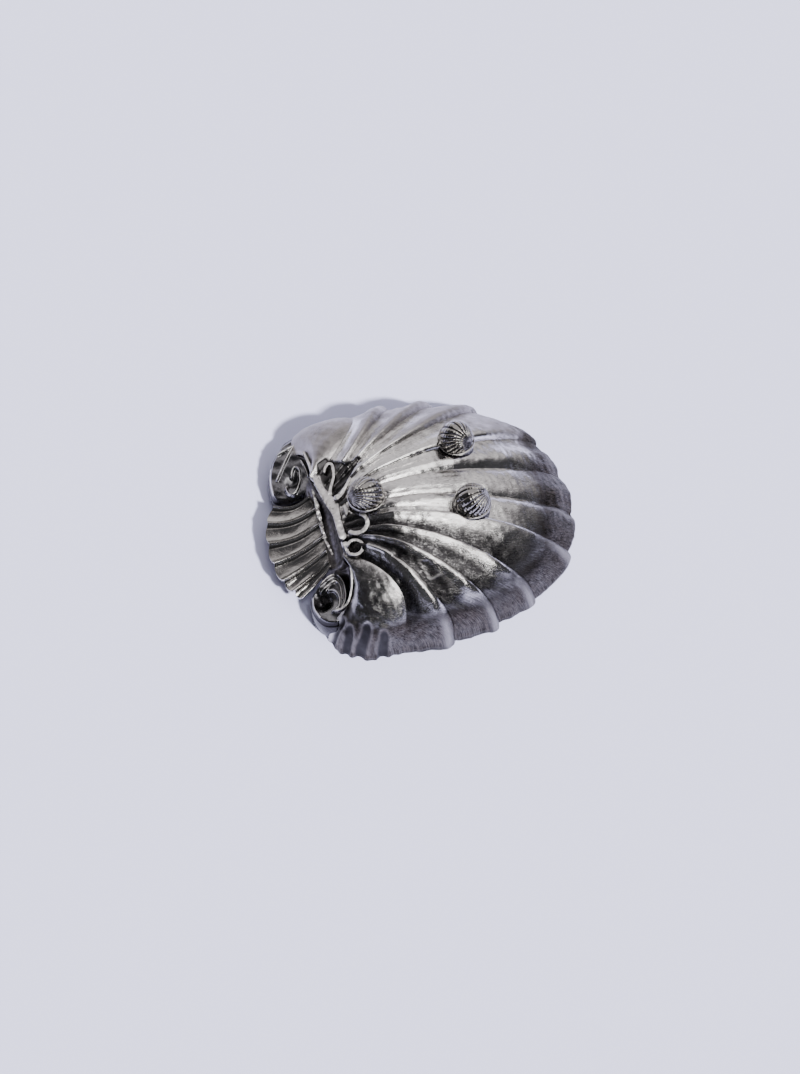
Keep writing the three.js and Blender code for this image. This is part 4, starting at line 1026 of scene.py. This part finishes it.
def height_under(tree, x, y):
    """The height in mm of the surface under a plan point, and 0 where there is none."""
    start = Vector((x * MILLIMETRE, y * MILLIMETRE, DROP_HEIGHT))
    hit = tree.ray_cast(start, Vector((0.0, 0.0, -1.0)))[0]
    return 0.0 if hit is None else hit.z / MILLIMETRE


# %% The collars of the feet
# A radius in mm and a share of the height for each turn of the profile, from the cup upwards.
COLLAR = np.array([
    (8.7, 0.0), (8.4, 0.10), (8.0, 0.26), (7.9, 0.42), (8.0, 0.52), (8.5, 0.58), (8.75, 0.64),
    (8.8, 0.71), (8.5, 0.78), (8.5, 0.80), (8.85, 0.85), (8.9, 0.91), (8.75, 0.97), (8.4, 1.0),
    (8.0, 1.0),
])
COLLAR_ROWS, COLLAR_SIDES = 100, 160
COLLAR_SEAT_RADIUS, COLLAR_SEAT_SINK = 8.7, 0.25
COLLAR_GAP = 0.3
COLLAR_BORE_RADIUS, COLLAR_BORE_SHARE = 6.5, 0.4
COLLAR_SHADE_AT, COLLAR_TARNISH_AND_SHADE = [0.0, 0.45, 0.6, 0.79, 0.85, 1.0], [1.0, 0.9, 0.2, 0.7, 0.1, 0.4]


def foot_collar(name, x, y, base, tree):
    """A lathe form: a radius and a height share for each row, where share 0 lies on the cup."""
    t = np.linspace(0, len(COLLAR) - 1, COLLAR_ROWS)
    radius, share = through(COLLAR[:, 0], t), np.clip(through(COLLAR[:, 1], t), 0.0, 1.0)
    angle = np.linspace(0, 2 * np.pi, COLLAR_SIDES, endpoint=False)
    seat_x, seat_y = x + COLLAR_SEAT_RADIUS * np.cos(angle), y + COLLAR_SEAT_RADIUS * np.sin(angle)
    seat = np.array([height_under(tree, a, b) for a, b in zip(seat_x, seat_y)]) - COLLAR_SEAT_SINK
    top = base - COLLAR_GAP
    r = np.append(radius, [COLLAR_BORE_RADIUS] * 2)[:, None]
    z = seat + (top - seat) * np.append(share, [1.0, COLLAR_BORE_SHARE])[:, None]
    rings = np.stack([x + r * np.cos(angle), y + r * np.sin(angle), z], -1)
    rows = len(rings)
    faces = grid_faces(rows + 1, COLLAR_SIDES, around=True)
    faces = np.where(faces >= rows * COLLAR_SIDES, faces - rows * COLLAR_SIDES, faces)
    # Tarnish and painted shade up the collar: dark at its foot, in its waist and in its groove; the
    # pale rings on its two beads are wear and partly painted highlight.
    tarnish_and_shade = np.append(np.interp(share, COLLAR_SHADE_AT, COLLAR_TARNISH_AND_SHADE), [1.0, 1.0])
    worn = np.append(0.7 * bell(share, 0.91, 0.04) + 0.5 * bell(share, 0.66, 0.05), [0.0, 0.0])
    return make_piece(
        f"{name}_foot_collar", rings, faces, foot_silver, [f"foot_{name}_collar"], "foot_silver",
        hollow=np.repeat(tarnish_and_shade, COLLAR_SIDES), worn=np.repeat(worn, COLLAR_SIDES))


cup_tree = tree_of(cup_piece)
for foot_name, (foot_x, foot_y, foot_bearing, foot_base) in FEET.items():
    foot_collar(foot_name, foot_x, foot_y, foot_base, cup_tree)
    foot_shell(foot_name, foot_x, foot_y, foot_bearing, foot_base)

# %% [markdown]
# ## The strap and its scrolls
# The ornament at the hinge is cast: flat bands that cross, curl and end in loops. Each band is a
# bar along a curve of plan points that carry their half width. The curve is dropped on whatever
# lies under it, eased along its length, and given a section with a flat top and rounded flanks.
# Pits from the casting roughen its top. Laid this way, a band rests on the cup wherever it runs,
# and needs no height of its own.

# %% Where the bands run
BANDS = {
    "strap_stem": [(-48.6, 43, 0.5), (-47.6, 34, 0.7), (-47.2, 25.7, 1.0), (-45.8, 16.2, 1.6),
                   (-43.9, 9.2, 2.3), (-42.4, 5, 2.9), (-41.6, -1.9, 1.9), (-41.5, -9.1, 1.7),
                   (-41.1, -15.8, 1.9)],
    "strap_tail": [(-41.0, -16.6, 1.4), (-40.9, -22.3, 0.7), (-41.0, -29.5, 0.5), (-42.2, -36.2, 0.5),
                   (-45.0, -42, 0.5), (-48.4, -44.4, 0.5), (-52.4, -44.6, 0.5)],
    "leaf_loop": [(-42.3, 9.4, 1.2), (-40.9, 13.5, 0.7), (-38.2, 19.4, 0.7), (-37.6, 25.5, 0.8),
                  (-39.2, 26.9, 0.8), (-41.1, 25.1, 0.6), (-42.1, 22.5, 0.5)],
    "branch": [(-40.9, 5.4, 1.6), (-38.6, 6.0, 1.1), (-36.8, 7.0, 0.8), (-33.0, 11.8, 0.6),
               (-30.6, 15.2, 0.4)],
    "crescent": [(-37.4, 1, 0.6), (-36.7, -1.8, 0.9), (-37.4, -4.6, 0.6)],
}
SEAM = [(-48.8, 20, 0.6), (-48.6, 15, 0.9), (-48.7, 8, 1.0), (-48.7, 0, 0.9), (-48.2, -9, 0.7),
        (-47.0, -16, 0.5)]
RING_POINTS = 13
RING_CURL = 0.18


def ring_band(x, y, radius, start, end, half):
    """An open ring whose radius shrinks by 18 per cent from its start to its end."""
    bearing = np.linspace(start, end, RING_POINTS)
    curl = radius * (1 - RING_CURL * (bearing - start) / (end - start))
    angle = np.radians(bearing)
    halves = np.full(RING_POINTS, half)
    return np.stack([x + curl * np.cos(angle), y + curl * np.sin(angle), halves], -1)


BANDS["scroll_large"] = ring_band(-33.6, -11.2, 5.4, -150, 65, 1.0)
BANDS["scroll_small"] = ring_band(-37.2, -21.8, 4.1, -165, 165, 0.75)
print("bands:", list(BANDS))

# %% Lay and build a band
LINE_POINTS = 400
BAND_STEP = 0.45
BAND_LIFT = 0.3
EASING_PASSES = 600
BAND_SIDES = 36
FLANK_TURN = 0.18 * math.pi
FLAT_ACROSS, FLAT_UP = 0.3, 0.4
BAND_SINK = 2.0
BAND_TARNISH_AND_SHADE, BAND_WEAR_AND_HIGHLIGHT = 0.9, 0.42
PIT_DIRT, PIT_WEAR = 2.4, 2.5


def length_along(points):
    """The length from the first point of a line to each of its points."""
    return np.concatenate([[0], np.cumsum(np.linalg.norm(np.diff(points, axis=0), axis=1))])


def laid_band(points, tree):
    """Stations along a band: plan position, eased height of the highest surface below, half width."""
    points = np.array(points, float)
    t = np.linspace(0, len(points) - 1, LINE_POINTS)
    plan = np.stack([through(points[:, k], t) for k in range(3)], -1)
    run = length_along(plan[:, :2])
    at = np.linspace(0, run[-1], int(run[-1] / BAND_STEP) + 2)
    x, y, half = (np.interp(at, run, plan[:, k]) for k in range(3))
    z = [max(height_under(tree, a + s * h, b) for s in (-1, 0, 1)) for a, b, h in zip(x, y, half)]
    z = np.array(z) + BAND_LIFT
    for _ in range(EASING_PASSES):
        z = np.convolve(np.concatenate([z[:1], z, z[-1:]]), [0.25, 0.5, 0.25], "valid")
    return np.stack([x, y, z], -1), half


def band_piece(name, points, tree, seed, nodes, rise=1.0, pits=0.09):
    """A bar along a laid line, with rounded ends. Its section is round the angle a: the width goes
    with |cos a|^0.3 and the height with |sin a|^0.4 above, and straight down below, so the top is
    flat, its shoulders are rounded and the flanks sink into whatever carries it."""
    line, half = laid_band(points, tree)
    ahead = np.gradient(line, axis=0)
    aside = np.stack([-ahead[:, 1], ahead[:, 0], 0 * half], -1)
    aside = aside / np.linalg.norm(aside, axis=1, keepdims=True)
    run = length_along(line)
    end = np.minimum(run, run[-1] - run)
    taper = np.sqrt(np.clip(1 - (1 - np.clip(end / half, 0, 1)) ** 2, 0.02, 1))

    angle = np.linspace(-FLANK_TURN, math.pi + FLANK_TURN, BAND_SIDES)
    sine = np.sin(angle)
    across = np.sign(np.cos(angle)) * np.abs(np.cos(angle)) ** FLAT_ACROSS
    up = np.where(sine > 0, rise * np.abs(sine) ** FLAT_UP, BAND_SINK * sine / math.sin(FLANK_TURN))
    rings = line[:, None, :] + ((half * taper)[:, None] * across)[..., None] * aside[:, None, :]
    x, y = rings[..., 0], rings[..., 1]
    pit = pits * (ripple(x, y, 0.9, seed) + ripple(x, y, 2.2, seed + 1))
    rings[..., 2] += up * np.where(up > 0, taper[:, None], 1.0) + pit * (up > 0)

    top = np.clip(up / rise, 0.0, 1.0)
    deep = np.minimum(0, pit)
    tube, faces = capped_tube(rings)
    # The flanks are darkened, tarnish and painted shade, and the flat top is rubbed pale, partly as a
    # painted highlight.
    return make_piece(
        name, tube, faces, cast_silver, nodes, "cast_silver" if nodes else None,
        hollow=BAND_TARNISH_AND_SHADE * (1.0 - top**2) - PIT_DIRT * deep,
        worn=BAND_WEAR_AND_HIGHLIGHT * smooth(top, 0.7, 1.0) + PIT_WEAR * deep)


# %% Build the strap work
BAND_PITS = {"strap_stem": 0.13, "branch": 0.12}

ground = tree_of(cup_piece, heel_piece, left_volute, right_volute)
for number, (band_name, band_points) in enumerate(BANDS.items()):
    pits = BAND_PITS.get(band_name, 0.09)
    band_piece(band_name, band_points, ground, 31 + 3 * number, [band_name], pits=pits)

# The rough strip of solder between the thumb piece and the cove replaces no node.
band_piece("solder_seam", SEAM, tree_of(heel_piece), 71, [], rise=0.25, pits=0.24)

# %% [markdown]
# ## The floor
# The dish lies on a pale lilac-grey floor. Its colour is set bluer than it looks in the picture,
# because the tone curve of the picture pales bright colours. A plain matt square would do, and a
# very faint mottle keeps it from looking like empty paper.

# %% Floor
FLOOR_HALF = 3.0  # metres
FLOOR_COLOURS = ((0.460, 0.465, 0.660), (0.470, 0.475, 0.667))


def make_floor():
    """A flat square of 6 by 6 m, of two colours blended by a slow noise."""
    material, nodes = new_material("pale_floor")
    place = nodes.add("ShaderNodeTexCoord", "Object")
    mottle = nodes.add("ShaderNodeTexNoise", Scale=3.0, Detail=2.0, Vector=place)
    colour = nodes.blend(*FLOOR_COLOURS, mottle)
    matt = nodes.add("ShaderNodeBsdfPrincipled", Roughness=0.9, Specular_IOR_Level=0.1,
                     Base_Color=colour)
    nodes.add("ShaderNodeOutputMaterial", Surface=matt)
    mesh = bpy.data.meshes.new("floor")
    corners = [(-1, -1), (1, -1), (1, 1), (-1, 1)]
    mesh.from_pydata([(FLOOR_HALF * x, FLOOR_HALF * y, 0) for x, y in corners], [], [(0, 1, 2, 3)])
    mesh.materials.append(material)
    floor = bpy.data.objects.new("floor", mesh)
    bpy.context.scene.collection.objects.link(floor)


make_floor()

# %% [markdown]
# ## The camera
# The camera was found from the photograph: the rim, the three feet and the shadow have to fall
# where they do there. It looks down at 59 degrees from 650 mm, a little from the lip's side. The
# photograph is a part cut from a larger picture, so the lens axis isn't at its middle, and the
# shift of the lens makes up for that.

# %% Camera
CAMERA_AZIMUTH = math.radians(-14.3)
CAMERA_ELEVATION = math.radians(59.0)
CAMERA_DISTANCE = 0.650
FOCAL_PIXELS = 650.0 / 0.49
IMAGE_WIDTH, IMAGE_HEIGHT = 800, 1074
AXIS_PIXEL = (421.0, 524.0)
LOOKED_AT = Vector((0.0, 0.00195, 0.0))
SENSOR = 36.0


def towards(azimuth, elevation):
    """The unit vector with an azimuth, counted from -y towards +x, and a height angle."""
    level = math.cos(elevation)
    return Vector((math.sin(azimuth) * level, -math.cos(azimuth) * level, math.sin(elevation)))


def point_back(placed, direction, distance, origin=Vector()):
    """Puts an object some way out in a direction and turns it to look back."""
    bpy.context.scene.collection.objects.link(placed)
    placed.location = origin + direction * distance
    placed.rotation_mode = "QUATERNION"
    placed.rotation_quaternion = direction.to_track_quat("Z", "Y")


camera = bpy.data.objects.new("camera", bpy.data.cameras.new("camera"))
point_back(camera, towards(CAMERA_AZIMUTH, CAMERA_ELEVATION), CAMERA_DISTANCE, LOOKED_AT)
camera.data.sensor_width = SENSOR
camera.data.lens = SENSOR * FOCAL_PIXELS / IMAGE_HEIGHT
camera.data.shift_x = (IMAGE_WIDTH / 2 - AXIS_PIXEL[0]) / IMAGE_HEIGHT
camera.data.shift_y = (AXIS_PIXEL[1] - IMAGE_HEIGHT / 2) / IMAGE_HEIGHT
bpy.context.scene.camera = camera
print("lens in mm:", round(camera.data.lens, 1))

# %% [markdown]
# ## The light
# One strong lamp from the lower right lights the floor and casts the soft shadow. Silver doesn't
# show that lamp but the room round it, so mirrors don't see the lamp: the world has bright panes
# instead, one of them where the lamp is. They give the bright bands over the middle ribs and the
# glints on the near crests. The world is also pale beyond the dish and high up on its right, which
# lights the far side, and dark elsewhere, which keeps the near side dark.

# %% Lamp
KEY_AZIMUTH = CAMERA_AZIMUTH + math.radians(42.0)
KEY_ELEVATION = math.radians(42.0)
KEY_STRENGTH = 13.5
KEY_DISTANCE = 1.6

key_direction = towards(KEY_AZIMUTH, KEY_ELEVATION)
lamp = bpy.data.lights.new("key", "SUN")
lamp.energy = KEY_STRENGTH
lamp.angle = math.radians(4.0)
lamp.color = (1.0, 0.99, 0.97)
key = bpy.data.objects.new("key", lamp)
point_back(key, key_direction, KEY_DISTANCE)
key.visible_glossy = False
print("lamp towards", [round(c, 2) for c in key_direction])

# %% World
# Each pale part and each pane is a direction and two cosines, where it starts and where it is full.
PALE_PARTS = [((0.42, 0.45, 0.70), 0.60, 0.94), ((-0.2, 1.0, 0.10), 0.50, 0.92)]
PANES = [  # and the radiance
    ((0.42, -0.08, 0.90), 0.91, 0.995, 3.4),
    ((0.05, -0.34, 0.94), 0.975, 1.0, 12.0),
    (key_direction, 0.975, 1.0, 8.0),
]
SKY_STOPS = [(0.0, (0.055, 0.055, 0.06)), (0.35, (0.22, 0.21, 0.22)), (0.8, (0.66, 0.635, 0.65)),
             (1.0, (0.92, 0.89, 0.91))]
BACKDROP = (1.08, 1.08, 1.20)

world = bpy.data.worlds.new("world")
bpy.context.scene.world = world
world.use_nodes = True
sky = Nodes(world.node_tree)
looking = sky.add("ShaderNodeTexCoord", "Generated")


def brightness_towards(direction, low, high):
    """0 to 1 as the cosine of the angle to a direction rises from low to high."""
    there = Vector(direction).normalized()
    cosine = sky.maths("DOT_PRODUCT", looking, there, kind="ShaderNodeVectorMath", output="Value")
    return cosine.ramp(low, high, "SMOOTHSTEP")


brightest = sky.maths("MAXIMUM", *(brightness_towards(*part) for part in PALE_PARTS))
colour = sky.add("ShaderNodeValToRGB", "Color", Fac=brightest)
elements = colour.socket.node.color_ramp.elements
while len(elements) < len(SKY_STOPS):
    elements.new(0.5)
for element, (position, shade) in zip(elements, SKY_STOPS):
    element.position = position
    element.color = (*shade, 1.0)
for direction, low, high, radiance in PANES:
    pane = (radiance, 0.99 * radiance, 0.98 * radiance)
    colour = sky.blend(colour, pane, brightness_towards(direction, low, high))

# A camera that looks past the floor's edge sees a pale wall in place of the dark room.
colour = sky.blend(colour, BACKDROP, sky.add("ShaderNodeLightPath", "Is Camera Ray"))
background = sky.add("ShaderNodeBackground", Color=colour)
sky.add("ShaderNodeOutputWorld", Surface=background)
print("panes in the world:", len(PANES))
